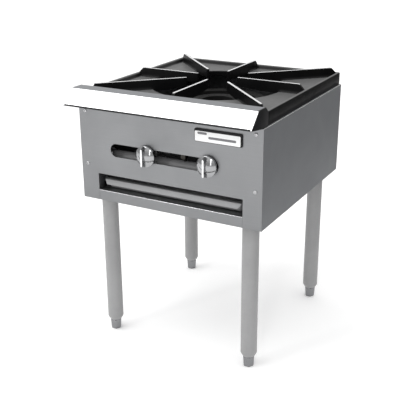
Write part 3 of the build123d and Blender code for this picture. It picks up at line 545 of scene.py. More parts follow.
def brushed_steel(name, colour, rough, way, metallic=1.0, marks=0.35):
    """Sheet brushed along the axis named by way: thin scratches, cloudy gloss, faint tone changes."""
    material, tree, shader, place = blank_material(name)
    scale = [650.0, 650.0, 650.0]
    scale["XYZ".index(way)] = 7.0
    stretched = add(tree, "ShaderNodeMapping", {"Vector": place, "Scale": scale})
    grain = shared(tree, "brushed_grain", {"Vector": stretched.outputs["Vector"], "Marks": marks})
    cloud = shared(tree, "soft_clouds", {"Vector": place, "Scale": 7.0})
    tone = clouded(tree, grain["Tone"], colour, 0.93, 1.05)
    gloss = ranged(tree, cloud["Tone"], rough - 0.05, rough + 0.07)
    fill(tree, shader, {
        "Base Color": mix_colour(tree, ranged(tree, cloud["Tone"], 0.0, 0.22), tone, shade(colour, 0.82)),
        "Roughness": maths(tree, "ADD", ranged(tree, grain["Tone"], -0.05, 0.05), gloss),
        "Metallic": metallic, "Normal": bump(tree, grain["Height"], 0.00006, 0.35)})
    return material


def spangled_steel(name, colour, rough):
    """Dull coated sheet: crystal patches a few millimetres wide, each with its own tone."""
    material, tree, shader, place = blank_material(name)
    cells = add(tree, "ShaderNodeTexVoronoi", {"Vector": place, "Scale": 210.0, "Randomness": 1.0})
    patch = add(tree, "ShaderNodeSeparateColor", {"Color": cells.outputs["Color"]}).outputs
    cloud = shared(tree, "soft_clouds", {"Vector": place, "Scale": 12.0})
    tone = mix_colour(tree, patch["Red"], shade(colour, 0.88), shade(colour, 1.08))
    fill(tree, shader, {
        "Base Color": mix_colour(tree, ranged(tree, cloud["Tone"], 0.0, 0.35), tone, shade(colour, 0.62)),
        "Roughness": ranged(tree, patch["Green"], rough - 0.06, rough + 0.08, 0.0, 1.0),
        "Metallic": 0.9, "Normal": bump(tree, cloud["Spots"], 0.00005, 0.3)})
    return material


# the grey painted on up-facing faces as light from above, and the depth below level over which ground iron
# gives way to black
TOP_LIGHT_GREY = (0.20, 0.20, 0.20, 1.0)
WORN_FROM, WORN_TO = 1.6 * MM, 0.7 * MM


def cast_metal(name, colour, gloss, top_light, ground=None, level=None):
    """Sand-cast iron with a pebbled dark skin, greyed where it looks up as painted light from above.

    Near level, faces that look up are ground bright.
    """
    material, tree, shader, place = blank_material(name)
    skin = shared(tree, "sand_cast", {"Vector": place, "Scale": 520.0})
    cloud = shared(tree, "soft_clouds", {"Vector": place, "Scale": 14.0})
    lit_top = shared(tree, "upward_mask", {"Vector": place, "From": 0.7, "To": 1.0})
    tone = clouded(tree, skin["Tone"], colour, 0.7, 1.35)
    # painted light: up-facing faces are mixed towards grey by the given share, lighter tops as if lit from
    # above
    tone = mix_colour(tree, maths(tree, "MULTIPLY", lit_top["Mask"], top_light), tone, TOP_LIGHT_GREY)
    rough = ranged(tree, cloud["Tone"], gloss - 0.05, gloss + 0.12)
    if ground is not None:
        flat = shared(tree, "upward_mask", {"Vector": place, "From": 0.45, "To": 0.75})
        height = add(tree, "ShaderNodeSeparateXYZ", {"Vector": place}).outputs["Z"]
        high = ranged(tree, height, 0.0, 1.0, level - WORN_FROM, level - WORN_TO)
        bare = maths(tree, "MULTIPLY", maths(tree, "MULTIPLY", flat["Mask"], high),
                     ranged(tree, cloud["Spots"], 1.0, 0.8, 0.0, 1.0))
        tone = mix_colour(tree, bare, tone, (*ground, 1.0))
        rough = mix_value(tree, bare, rough, 0.55)
        fill(tree, shader, {"Metallic": bare})
    fill(tree, shader, {"Base Color": tone, "Roughness": rough, "Specular IOR Level": 0.12,
                        "Normal": bump(tree, skin["Height"], 0.00012, 0.3)})
    return material


def painted(name, colour, rough, coat=0.0, spots=0.6, specular=0.5):
    """Paint or enamel: orange peel, slight unevenness in colour, and a few handling marks."""
    material, tree, shader, place = blank_material(name)
    cloud = shared(tree, "soft_clouds", {"Vector": place, "Scale": 10.0})
    tone = clouded(tree, cloud["Tone"], colour, 0.92, 1.06)
    mark = maths(tree, "MULTIPLY", cloud["Spots"], 0.12 * spots)
    fill(tree, shader, {
        "Base Color": mix_colour(tree, mark, tone, shade(colour, 0.6)),
        "Roughness": ranged(tree, cloud["Tone"], rough - 0.06, rough + 0.08),
        "Coat Weight": coat, "Specular IOR Level": specular,
        "Normal": bump(tree, noise(tree, place, 700.0, 2.0), 0.00004, 0.4)})
    return material


def polished(name, colour, rough, wobble=0.00002):
    """Plated or turned metal: a mirror with faint wiping marks and a slightly uneven surface."""
    material, tree, shader, place = blank_material(name)
    cloud = shared(tree, "soft_clouds", {"Vector": place, "Scale": 45.0})
    fill(tree, shader, {
        "Base Color": clouded(tree, cloud["Tone"], colour, 0.94, 1.03),
        "Roughness": ranged(tree, cloud["Tone"], rough * 0.6, rough * 1.6),
        "Metallic": 1.0, "Normal": bump(tree, noise(tree, place, 160.0, 1.0), wobble, 0.4)})
    return material


def make_finishes(colours):
    """Every finish of the range, by name, from its maker, its colour setting and the maker's values."""
    recipes = {
        "front_steel": (brushed_steel, "front_steel", 0.42, "X"),
        "ledge_steel": (brushed_steel, "ledge_steel", 0.28, "X"),
        "side_steel": (brushed_steel, "side_steel", 0.44, "Y", 0.55),
        "plain_steel": (spangled_steel, "plain_steel", 0.46),
        "tray_steel": (brushed_steel, "tray_steel", 0.36, "X", 0.2, 0.5),
        "black_enamel": (painted, "enamel", 0.50, 0.0, 0.6, 0.25),
        # 0.60 is the share of painted light from above on the cast top's up-facing faces
        "cast_top": (cast_metal, "cast_top", 0.34, 0.60, colours.ground_iron, CAD_BOX[1][2]),
        "burner_iron": (cast_metal, "burner_iron", 0.55, 0.0),
        "brass": (polished, "brass", 0.34),
        "valve_metal": (polished, "valve_metal", 0.36, 0.00005),
        "chrome": (polished, "chrome", 0.12, 0.00001),
        # painted highlight for the knobs' wing edges, in the ground iron's colour
        "bright_edge": (polished, "ground_iron", 0.12, 0.00001),
        "pipe_black": (painted, "pipe_black", 0.40),
        "pilot_aluminium": (polished, "pilot_aluminium", 0.30),
        "badge_white": (painted, "badge_white", 0.25, 0.4, 0.2),
        "badge_mark": (painted, "badge_mark", 0.35, 0.0, 0.2),
        "screw_steel": (polished, "screw_steel", 0.22),
        "leg_steel": (painted, "leg_steel", 0.40),
        "foot_metal": (brushed_steel, "foot_metal", 0.22, "Z"),
    }
    return {name: maker(name, getattr(colours, colour), *values)
            for name, (maker, colour, *values) in recipes.items()}


FINISH = {}


# ---------------------------------------------------------------- sheet metal

# the sheets whose top edge gets a painted highlight, which way each faces, and the lighter finish painted
# on that edge
HIGHLIGHT_TOPS = {"left_side_panel": ((-1, 0, 0), "ledge_steel"),
               "right_side_panel": ((1, 0, 0), "ledge_steel"),
               "front_bottom_rail": ((0, -1, 0), "screw_steel")}


class RANGE_OT_sheet_metal(bpy.types.Operator):
    """Panels, rail, channels, pan, shields, crossbars and guides, with the edges of the sheet rounded."""
    bl_idname = "range.sheet_metal"
    bl_label = "Sheet metal"

    def execute(self, context):
        edge = context.scene.range_shape.sheet_edge
        for node in ("front_panel", "front_bottom_rail", "left_side_panel", "right_side_panel",
                     "rear_panel", "left_leg_channel", "right_leg_channel", "bottom_pan",
                     "control_shield", "front_burner_crossbar", "rear_burner_crossbar",
                     "left_tray_guide", "right_tray_guide", "left_ledge_gusset", "right_ledge_gusset",
                     "left_manifold_saddle", "right_manifold_saddle", "pilot_bracket"):
            # the control shield takes black enamel: painted shade for the slot it is seen through
            finish = "black_enamel" if node == "control_shield" else SLOT_OF[node]
            piece = softened(node, edge, FINISH[finish])
            if node in HIGHLIGHT_TOPS:
                outward, finish = HIGHLIGHT_TOPS[node]
                # painted highlight: the rounded top edge takes the lighter finish
                highlighted_top(piece, outward, 2.2 * edge, FINISH[finish])
        return {"FINISHED"}


class RANGE_OT_ledge(bpy.types.Operator):
    """The bent front ledge and the two black caps that close its ends."""
    bl_idname = "range.ledge"
    bl_label = "Front ledge"

    thickness: metres("Thickness", "Thickness of the ledge's sheet", 0.0015)
    slope_run: metres("Slope run", "Depth of the sloping face", 0.0335)
    crest_drop: metres("Rear drop", "Depth of the short rear slope", 0.0135)
    # height of the black band on the fold at the nose's foot: a painted shadow line under the nose
    hem_shadow: metres("Hem", "Height of the dark sealed hem along the nose", 0.0050)
    lip: metres("Lip", "Width of the fold under the nose", 0.010)

    def execute(self, context):
        bend = context.scene.range_shape.bend
        low, high = corners("front_ledge")
        # the nose's height above the fold, and the fall of the rear slope
        nose, fall = 1.4 * MM, 12.3 * MM
        outline = ((low[1] + self.lip, low[2]), (low[1], low[2] + nose),
                   (low[1] + self.slope_run, high[2]), (high[1] - self.crest_drop, high[2]),
                   (high[1], high[2] - fall))
        path = rounded_path(outline, (bend * 0.45, bend, bend))
        hem_shadow_top = low[2] + self.hem_shadow
        share = (hem_shadow_top - (low[2] + nose)) / (high[2] - low[2] - nose)
        start = (low[1] + self.slope_run * share, hem_shadow_top)
        place = np.searchsorted(path[:, 1] > hem_shadow_top, True)
        path = np.insert(path, place, start, axis=0)
        tangent = np.gradient(path, axis=0)
        tangent /= np.linalg.norm(tangent, axis=1, keepdims=True)
        inward = np.stack([tangent[:, 1], -tangent[:, 0]], -1) * self.thickness
        loop = np.concatenate([path, (path + inward)[::-1]])
        across = np.linspace(low[0], high[0], 49)
        rows = np.empty((len(across), len(loop), 3))
        rows[..., 0] = across[:, None]
        rows[..., 1:] = loop
        piece = new_object("front_ledge_sheet", *capped(rows), smooth_angle=radians(28))
        finish_piece(piece, "front_ledge", FINISH["ledge_steel"], FINISH["black_enamel"],
                     FINISH["side_steel"])
        middle = face_values(piece, "center")
        # painted shade: the crest and rear slope of the one ledge sheet take the darker side steel finish
        finish = np.where(middle[:, 1] > low[1] + self.slope_run, 2, 0)
        # painted shadow: faces below that height take black enamel
        finish_faces(piece, np.where(middle[:, 2] < hem_shadow_top, 1, finish))

        # a cap's nose above its foot, the run and fall of its rear slope, and where its crest starts
        nose, run, fall, crest = 8.8 * MM, 12.9 * MM, 12.0 * MM, 33.2 * MM
        corner, edge = 1.0 * MM, 0.6 * MM
        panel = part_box("front_panel")[0][1]
        for node in ("left_ledge_end_cap", "right_ledge_end_cap"):
            low, high = corners(node)
            loop = rounded_loop(((low[1], low[2] + nose), (panel, low[2]), (high[1], low[2]),
                                 (high[1], high[2] - fall), (high[1] - run, high[2]),
                                 (low[1] + crest, high[2])), corner)
            piece = new_object(node + "_plate", *plate(
                loop, low[0], high[0], edge,
                lambda points, x: np.concatenate([np.full((len(points), 1), x), points], 1)))
            finish_piece(piece, node, FINISH["black_enamel"], FINISH["ledge_steel"])
            # the rim along the slope is bare like the ledge
            facing = face_values(piece, "normal")
            finish_faces(piece, (facing[:, 1] < -0.4) & (facing[:, 2] > 0.2))
        return {"FINISHED"}


# ---------------------------------------------------------------- cast top

# outer radius of the large burner, and the height of the collar that hangs round the opening
BURNER_RADIUS, COLLAR = 119.0 * MM, 9.0 * MM
# from the opening's middle to a rib's tip and to the end of its level top, for the four ribs along
# the axes and the four towards the corners
RIB_REACH = ((52.0 * MM, 205.0 * MM), (76.0 * MM, 291.0 * MM))
# how far out a rib falls to the rim, and how far where it points to the front
RIB_FALL, FRONT_FALL = 14.0 * MM, 6.5 * MM
# height of the ribs' underside at the tip, and the height over which the draft is counted
RIB_FOOT, DRAFT_HEIGHT = 606.0 * MM, 22.0 * MM


def square_ray(angle, half_x, front, back, corner):
    """Distance from the middle to a rounded rectangle along each angle.

    Straight sides are met at half over the larger of cosine and sine. In a corner the ray meets the
    corner's circle, found from the quadratic of the ray and that circle.
    """
    a, b = np.abs(np.cos(angle)), np.abs(np.sin(angle))
    half_y = np.where(np.sin(angle) < 0, front, back)
    straight = np.minimum(half_x / np.maximum(a, 1e-9), half_y / np.maximum(b, 1e-9))
    kx, ky = half_x - corner, half_y - corner
    along = kx * a + ky * b
    bent = along + np.sqrt(np.maximum(along ** 2 - (kx ** 2 + ky ** 2 - corner ** 2), 0))
    in_corner = (straight * a > kx) & (straight * b > ky)
    return np.where(in_corner, bent, straight)


def casting_plate(low, high, centre_y, sizes):
    """The dished plate of the cast top, as points and faces.

    Round the middle, each row is a mix of a circle and a rounded rectangle. The rows run from the lip
    of the round opening up onto the plate, out to the raised rim, over it, down the skirt and back
    inside, and close on themselves.
    """
    angle = np.linspace(0, 2 * pi, 480, endpoint=False)
    opening, plate_z, rim_z, collar_z = sizes
    front, back, half = centre_y - low[1], high[1] - centre_y, high[0]

    def ring(radius):
        """A circle round the opening's middle."""
        return np.full(angle.shape, radius)

    def square(inset, corner):
        """The casting's outline moved inwards by inset."""
        return square_ray(angle, half - inset, front - inset, back - inset, corner)

    # rounding of the rim, thickness of the skirt, reach of the shelf inside it, thickness of the plate
    rim, wall, shelf, thick = 2.4 * MM, 5.6 * MM, 17.5 * MM, 6.0 * MM
    # rounding of the lip, its depth, thickness of the collar, and the small edges' chamfer and step
    lip, bore, collar, chamfer, step = 2.5 * MM, 3.0 * MM, 5.0 * MM, 1.0 * MM, 0.8 * MM
    # half width of the flat floor and of the crest, and how far each stays from the front
    floor_half, floor_gap, crest_half, crest_gap = 207.0 * MM, 8.0 * MM, 219.0 * MM, 3.2 * MM
    # corner radii of the floor, the crest, the skirt and the skirt's inside
    floor_corner, crest_corner, outer, inner = 6.0 * MM, 5.0 * MM, 4.0 * MM, 3.0 * MM
    floor = square_ray(angle, floor_half, front - floor_gap, floor_half, floor_corner)
    crest = square_ray(angle, crest_half, front - crest_gap, crest_half, crest_corner)
    rows = [(ring(opening), collar_z + chamfer), (ring(opening), plate_z - bore)]
    quarter = np.linspace(0, pi / 2, 5)
    rows += [(ring(opening + lip * (1 - np.cos(t))), plate_z - lip * (1 - np.sin(t))) for t in quarter]
    rows += [(ring(opening + lip) * (1 - t) + floor * t, plate_z) for t in np.linspace(0, 1, 14)[1:-1]]
    # the slope from plate to rim is an S made of a cosine
    rows += [(floor + (crest - floor) * t, plate_z + (rim_z - plate_z) * (1 - np.cos(pi * t)) / 2)
             for t in np.linspace(0, 1, 9)]
    rows += [(square(rim * (1 - np.sin(t)), outer), rim_z - rim * (1 - np.cos(t))) for t in quarter]
    rows += [(square(0.0, outer), low[2] + chamfer), (square(step, outer), low[2]),
             (square(wall - step, inner), low[2]), (square(wall, inner), low[2] + chamfer),
             (square(wall, inner), plate_z - thick), (square(shelf, inner), plate_z - thick),
             (ring(opening + collar), plate_z - thick), (ring(opening + collar), collar_z + chamfer),
             (ring(opening + collar - chamfer), collar_z), (ring(opening + chamfer), collar_z)]
    radius = np.array([row for row, _ in rows])
    height = np.array([np.broadcast_to(z, angle.shape) for _, z in rows])
    points = np.stack([radius * np.cos(angle), centre_y + radius * np.sin(angle), height], -1)
    return points.reshape(-1, 3), tube_faces(len(rows), len(angle), ring=True)


def casting_rib(turn, tip, end, foot, top_z, rim_z, plate_z, opening, centre_y, shape):
    """One rib as points and faces.

    Along the rib the top runs level, then falls to the rim, and the underside dips inside the round
    opening. Across it each row is a flat-topped section: half widths grow downwards by the draft, the
    upper corners are quarter circles, and near the plate an exponential flare makes the fillet.
    """
    width, edge, draft, fillet = shape
    # length of the blunt tip, dip of the underside, how deep the foot sinks into plate and rim, and
    # the height and the length over which the fillet fades
    blunt, dip, sunk, below = 3.0 * MM, 7.0 * MM, 4.0 * MM, 0.6 * MM
    fade_up, fade_in = 1.8 * MM, 4.0 * MM
    along = np.concatenate([tip + blunt * (1 - np.cos(np.linspace(0, pi / 2, 6))),
                            np.linspace(tip + blunt, end, 40)[1:], np.linspace(end, foot, 9)[1:]])
    nose = np.sqrt(np.clip(1 - np.clip((tip + blunt - along) / blunt, 0, 1) ** 2, 0.02, 1))
    fall = np.clip((along - end) / (foot - end), 0, 1)
    top = top_z - (top_z - rim_z + below) * fall ** 1.25
    inside = np.clip((along - tip) / (opening - tip), 0, 1)
    under = np.where(along < opening, RIB_FOOT - dip * inside ** 0.8, plate_z - sunk)
    depth = top - under
    level = np.linspace(0, 1, 14)
    corner = np.linspace(0, pi / 2, 5)
    z_share = np.concatenate([1 - edge / depth.max() * (1 - np.sin(corner[::-1])), level[::-1]])
    half = width / 2
    side_z = under[:, None] + depth[:, None] * z_share[None, :]
    drop = (top[:, None] - side_z) / DRAFT_HEIGHT
    flare = fillet * np.exp(-np.clip(side_z - plate_z, 0, None) / fade_up)
    flare *= np.clip((along[:, None] - opening) / fade_in, 0, 1)
    side = half + draft / 2 * drop + flare
    side[:, :len(corner)] -= edge * (1 - np.cos(corner[::-1]))[None, :]
    side *= nose[:, None]
    right = np.stack([np.repeat(along[:, None], side.shape[1], 1), side, side_z], -1)
    left = right[:, ::-1] * np.array([1, -1, 1])
    rows = np.concatenate([right, left], 1)
    cos, sin = np.cos(turn), np.sin(turn)
    points = np.stack([rows[..., 0] * cos - rows[..., 1] * sin,
                       centre_y + rows[..., 0] * sin + rows[..., 1] * cos, rows[..., 2]], -1)
    return capped(points)


class RANGE_OT_cast_top(bpy.types.Operator):
    """The cast top: a dished plate with a round opening and eight ribs ground level along the top."""
    bl_idname = "range.cast_top"
    bl_label = "Cast top"

    opening: metres("Opening", "Radius of the round opening", 0.158)
    plate_depth: metres("Plate depth", "From the rib tops down to the plate", 0.022)
    rim_depth: metres("Rim depth", "From the rib tops down to the rim", 0.013)
    rib_width: metres("Rib width", "Width along a rib's top", 0.0062)

    def execute(self, context):
        shape = context.scene.range_shape
        low, high = corners("top_grate")
        centre_y = corners("outer_ring_burner")[1][1] - BURNER_RADIUS
        top = high[2]
        plate_z, rim_z, collar_z = top - self.plate_depth, top - self.rim_depth, low[2] + COLLAR
        parts = [casting_plate(low, high, centre_y, (self.opening, plate_z, rim_z, collar_z))]
        section = (self.rib_width, shape.rib_edge, shape.rib_draft, shape.rib_fillet)
        for index in range(8):
            tip, end = RIB_REACH[index % 2]
            foot = end + (FRONT_FALL if index > 4 else RIB_FALL)
            parts.append(casting_rib(index * pi / 4, tip, end, foot, top, rim_z, plate_z,
                                     self.opening, centre_y, section))
        piece = new_object("cast_top_plate_and_ribs", *joined(parts), smooth_angle=radians(40))
        finish_piece(piece, "top_grate", FINISH["cast_top"])
        return {"FINISHED"}


# ---------------------------------------------------------------- burners and gas train

# rounding of the edges of castings and fittings
SOFT_EDGE = 0.5 * MM


class RANGE_OT_burners(bpy.types.Operator):
    """Ring burners, pilot and air shutters with softened edges."""
    bl_idname = "range.burners"
    bl_label = "Burners"

    def execute(self, context):
        for node in ("outer_ring_burner", "inner_ring_burner", "pilot_burner", "pilot_tube",
                     "left_air_shutter", "right_air_shutter"):
            softened(node, SOFT_EDGE, FINISH[SLOT_OF[node]])
        return {"FINISHED"}


class RANGE_OT_gas_train(bpy.types.Operator):
    """Manifold, elbow, supply pipe, inlet, valves, spindles and orifice hoods."""
    bl_idname = "range.gas_train"
    bl_label = "Gas train"

    def execute(self, context):
        for node in ("manifold_pipe", "manifold_cap", "supply_elbow", "supply_pipe", "rear_gas_inlet",
                     "left_gas_valve", "right_gas_valve", "left_valve_spindle", "right_valve_spindle",
                     "left_orifice_hood", "right_orifice_hood", "pilot_valve"):
            softened(node, SOFT_EDGE, FINISH[SLOT_OF[node]])
        return {"FINISHED"}


# ---------------------------------------------------------------- knobs

class RANGE_OT_knobs(bpy.types.Operator):
    """The two plated knobs: a turned skirt and a tall narrow wing that flares into its face."""
    bl_idname = "range.knobs"
    bl_label = "Knobs"

    wing_width: metres("Wing width", "Width of the wing's front edge", 0.0046)
    dome: metres("Dome", "Rise of the knob's round face", 0.0075)
    skirt_depth: metres("Skirt depth", "From the knob's back to the rim of its face", 0.006)

    def execute(self, context):
        edge = context.scene.range_shape.knob_edge
        # the hollow back's depth, the skirt's thickness inside and at its back, its edges' roundings
        hollow, wall, lip, soft, small = 3.0 * MM, 4.0 * MM, 3.6 * MM, 0.8 * MM, 0.5 * MM
        # the wing's height, how far in front of the rim it starts, and what it loses in width and in
        # height towards the front
        tall, root, narrow, shorten = 40.0 * MM, 3.0 * MM, 1.6 * MM, 3.0 * MM
        # the spread of the wing's foot, and the depth over which it fades
        spread, fade = 3.4 * MM, 2.2 * MM
        for side in ("left", "right"):
            node = side + "_burner_knob"
            low, high = corners(node)
            middle = (low + high) / 2
            radius, back, front = (high[0] - low[0]) / 2, high[1], low[1]
            rim = back - self.skirt_depth
            # the skirt: radius and depth, from the hollow back round the rim to the domed face
            profile = rounded_path(
                ((SAME / 4, back - hollow), (radius - wall, back - hollow),
                 (radius - lip, back), (radius, back), (radius, rim)), (soft, soft, small), steps=7)
            # the face is a cap of a sphere whose radius follows from the cap's width and rise
            wide = radius - edge
            ball = (wide ** 2 + self.dome ** 2) / (2 * self.dome)
            lean = np.linspace(np.arcsin(wide / ball), 0.00001, 24)
            cap = np.stack([ball * np.sin(lean), rim - edge * 0.7 - self.dome
                            + ball * (1 - np.cos(lean))], -1)
            profile = np.concatenate([profile, cap])
            parts = [lathe(profile, (middle[0], 0.0, middle[2]), "Y", 128)]
            # the wing: stadium outlines that shrink towards the front, with a fillet at the foot
            depth = rim - root - front
            share = np.concatenate([np.linspace(0, 1, 26), np.ones(6)])
            turn = np.concatenate([np.zeros(26), np.linspace(0, pi / 2, 6)])
            rows = []
            for s, t in zip(share, turn):
                y = rim - root - (depth - edge) * s - edge * np.sin(t)
                foot = spread * np.exp(-(depth - edge) * s / fade)
                rounding = 2 * edge * (1 - np.cos(t))
                width = self.wing_width + narrow * (1 - s) + 2 * foot - rounding
                loop = oblong(width, tall + shorten * (1 - s) + foot - rounding)
                rows.append(np.stack([middle[0] + loop[:, 0], np.full(len(loop), y),
                                      middle[2] + loop[:, 1]], -1))
            parts.append(capped(np.array(rows)))
            piece = new_object(side + "_knob_casting", *joined(parts), smooth_angle=radians(38))
            finish_piece(piece, node, FINISH["chrome"], FINISH["bright_edge"])
            # the wing's front edge takes a lighter plating: a painted highlight
            finish_faces(piece, face_values(piece, "center")[:, 1] < front + edge)
        return {"FINISHED"}


# ---------------------------------------------------------------- drip tray

class RANGE_OT_tray(bpy.types.Operator):
    """The drip tray: a drawn pan with rounded corners and a slanted front lip to pull it by."""
    bl_idname = "range.tray"
    bl_label = "Drip tray"

    thickness: metres("Thickness", "Thickness of the tray's sheet", 0.0012)
    floor_bend: metres("Floor bend", "Radius between floor and wall", 0.006)

    def execute(self, context):
        low, high = corners("drip_tray")
        # the lip's run and overhang at each side, and the corner radius of the pan
        lip_run, overhang, corner = 14.0 * MM, 3.0 * MM, 9.0 * MM
        # the lip's lap on the rim, its level part, its drop and its bend
        lap, level, drop, lip_bend = 0.8 * MM, 6.0 * MM, 12.0 * MM, 1.6 * MM
        # the slant of the lip's ends: over this height they come in by this much
        slant, come_in = 11.0 * MM, 8.0 * MM
        lip_half = high[0]
        wall_half, front = lip_half - overhang, low[1] + lip_run
        width, length = 2 * wall_half, high[1] - front
        centre = (0.0, (front + high[1]) / 2)
        rows = []
        quarter = np.linspace(0, pi / 2, 7)
        sheet, bend = self.thickness, self.floor_bend

        def row(inset, z):
            """The pan's outline moved inwards by inset, at height z."""
            loop = rounded_rectangle(width - 2 * inset, length - 2 * inset, corner - inset * 0.8,
                                     centre=centre)
            rows.append(np.concatenate([loop, np.full((len(loop), 1), z)], 1))

        for t in quarter:
            row(bend * (1 - np.sin(t)), low[2] + bend * (1 - np.cos(t)))
        for z in (0.4, 0.8):
            row(0.0, low[2] + (high[2] - low[2]) * z)
        for t in np.linspace(0, pi, 7):
            row(sheet / 2 * (1 - np.cos(t)), high[2] - sheet / 2 + sheet / 2 * np.sin(t))
        for z in (0.8, 0.4):
            row(sheet, low[2] + (high[2] - low[2]) * z)
        for t in quarter[::-1]:
            row(sheet + (bend - sheet) * (1 - np.sin(t)), low[2] + sheet + (bend - sheet) * (1 - np.cos(t)))
        parts = [capped(np.array(rows))]

        rim = high[2] - sheet / 2
        path = rounded_path(((front + lap, rim), (low[1] + level, rim),
                             (low[1] + sheet / 2, low[2] + drop)), (lip_bend,))
        loop = strip_loop(path, sheet)
        # the lip's ends slant inwards below its bend
        half = lip_half - np.clip((high[2] - sheet - loop[:, 1]) / slant, 0, 1) * come_in
        share = np.linspace(-1, 1, 33)[:, None]
        points = np.stack([share * half, np.broadcast_to(loop[:, 0], (33, len(loop))),
                           np.broadcast_to(loop[:, 1], (33, len(loop)))], -1)
        parts.append(capped(points))
        piece = new_object("drip_tray_pan", *joined(parts), smooth_angle=radians(35))
        finish_piece(piece, "drip_tray", FINISH["tray_steel"])
        return {"FINISHED"}


# ---------------------------------------------------------------- legs and feet

# a foot's section from the ground up: height in mm, and its share of the width across flats
FOOT_SECTION = ((0.0, 0.72), (0.5, 0.79), (1.4, 0.85), (2.8, 0.885), (8.0, 0.91), (16.0, 0.95),
                (24.5, 0.99), (26.0, 0.985), (26.7, 0.96))
# radii of the collar on top of it and of its stem
FOOT_COLLAR, FOOT_STEM = 9.5 * MM, 6.35 * MM


class RANGE_OT_legs(bpy.types.Operator):
    """Four tubular legs with swaged ends, their six-sided levelling feet, and the bolts above."""
    bl_idname = "range.legs"
    bl_label = "Legs and feet"

    swage: metres("Swage", "Height of the drawn-in end of a leg", 0.009)
    foot_rounding: bpy.props.FloatProperty(
        name="Foot rounding", description="Sharpness of the foot's six corners", default=22.0)

    def execute(self, context):
        # the bore for the foot's stem, its depth, and how far the swaged end is drawn in
        bore, deep, drawn_in = 6.4 * MM, 30.0 * MM, 5.0 * MM
        for end in ("front", "rear"):
            for side in ("left", "right"):
                leg, foot = f"{end}_{side}_leg", f"{end}_{side}_foot"
                low, high = corners(leg)
                middle, radius = (low + high) / 2, (high[0] - low[0]) / 2
                profile = rounded_path(
                    ((bore, low[2] + deep), (bore, low[2]), (radius - drawn_in, low[2]),
                     (radius, low[2] + self.swage), (radius, high[2]), (bore, high[2])),
                    (0.3 * MM, 1.2 * MM, 3.2 * MM, 0.4 * MM))
                piece = new_object(leg + "_tube",
                                   *lathe(profile, (middle[0], middle[1], 0.0), segments=96))
                finish_piece(piece, leg, FINISH["leg_steel"])
                self.make_foot(foot)
        softened("leg_bolts", 0.6 * MM, FINISH["screw_steel"])
        return {"FINISHED"}

    def make_foot(self, node):
        """A six-sided foot: the radius is a high power mean of three directions 60 degrees apart."""
        low, high = corners(node)
        middle = (low + high) / 2
        body_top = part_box(node.replace("foot", "leg"))[0][2]
        angle = np.linspace(0, 2 * pi, 96, endpoint=False)
        power = self.foot_rounding
        total = sum(np.abs(np.cos(angle - pi / 6 + k * pi / 3)) ** power for k in range(3))
        hexagon = total ** (-1 / power)
        flats = (high[1] - low[1]) / 2
        rows = []
        for z, size in FOOT_SECTION:
            rows.append((flats * size * hexagon, low[2] + z * MM))
        for radius, z in ((FOOT_COLLAR, body_top - 0.05 * MM), (FOOT_STEM, body_top - 0.02 * MM),
                          (FOOT_STEM, high[2])):
            rows.append((np.full(96, radius), z))
        points = np.array([np.stack([middle[0] + r * np.cos(angle), middle[1] + r * np.sin(angle),
                                     np.full(96, z)], -1) for r, z in rows])
        piece = new_object(node + "_casting", *capped(points), smooth_angle=radians(30))
        finish_piece(piece, node, FINISH["foot_metal"])


# ---------------------------------------------------------------- badge and screws

class RANGE_OT_badge(bpy.types.Operator):
    """A blank badge: a dark plate with a white face, a thin raised border and two plain bars; the dark band
    round the white face is painted shadow.
    """
    bl_idname = "range.badge"
    bl_label = "Badge"

    border: metres("Border", "Width of the raised border", 0.0012)

    def execute(self, context):
        low, high = corners("badge_plate")
        middle, size = (low + high) / 2, high - low

        def upright(points, y):
            """An outline stood up on the front panel, y in front of the middle of the frame."""
            return np.stack([middle[0] + points[:, 0], np.full(len(points), -y),
                             middle[2] + points[:, 1]], -1)

        # height of the raised parts, the dark plate's rounding, and the white face's
        relief, edge, fine = 0.5 * MM, 0.4 * MM, 0.1 * MM
        # the width of dark plate round the white face in all, which is painted shadow, the shift of the
        # white face, which makes that painted shadow wider at the top and right, and the two corner radii
        shadow_margin, shift = (5.2 * MM, 6.4 * MM), (-1.2 * MM, -2.0 * MM)
        corner, face_corner = 3.0 * MM, 2.0 * MM
        outer = rounded_rectangle(size[0], size[2], corner)
        body = plate(outer, -high[1], -low[1] - relief, edge, upright)
        inner = rounded_rectangle(size[0] - shadow_margin[0], size[2] - shadow_margin[1], face_corner, centre=shift)
        face = plate(inner, -low[1] - 2 * relief, -low[1] - relief / 4, fine, upright)
        angle = np.linspace(0, 2 * pi, 12, endpoint=False)
        rows = np.array([upright(inset_loop(inner, self.border / 2 * (1 - np.cos(t))),
                                 -low[1] - relief + relief * np.sin(t)) for t in angle])
        rim = rows.reshape(-1, 3), tube_faces(len(rows), len(inner), ring=True)
        # the bars: height, corner radius, gap to the front and rounding, then width and place as
        # shares of the badge
        tall, bar_corner, gap, bar_edge = 5.4 * MM, 2.6 * MM, 0.05 * MM, 0.12 * MM
        bars = [plate(rounded_rectangle(size[0] * share, tall, bar_corner,
                                        centre=(size[0] * along, size[2] * up)),
                      -low[1] - relief, -low[1] - gap, bar_edge, upright)
                for share, along, up in ((0.58, 0.09, -0.12), (0.20, -0.33, 0.17))]
        groups = [body, joined([face, rim]), joined(bars)]
        piece = new_object("badge_face", *joined(groups), smooth_angle=radians(30))
        finish_piece(piece, "badge_plate", FINISH["black_enamel"], FINISH["badge_white"],
                     FINISH["badge_mark"])
        counts = np.cumsum([len(faces) for _, faces in groups])
        finish_faces(piece, np.searchsorted(counts, np.arange(counts[-1]), side="right"))
        softened("badge_studs", 0.2 * MM, FINISH["plain_steel"])
        return {"FINISHED"}


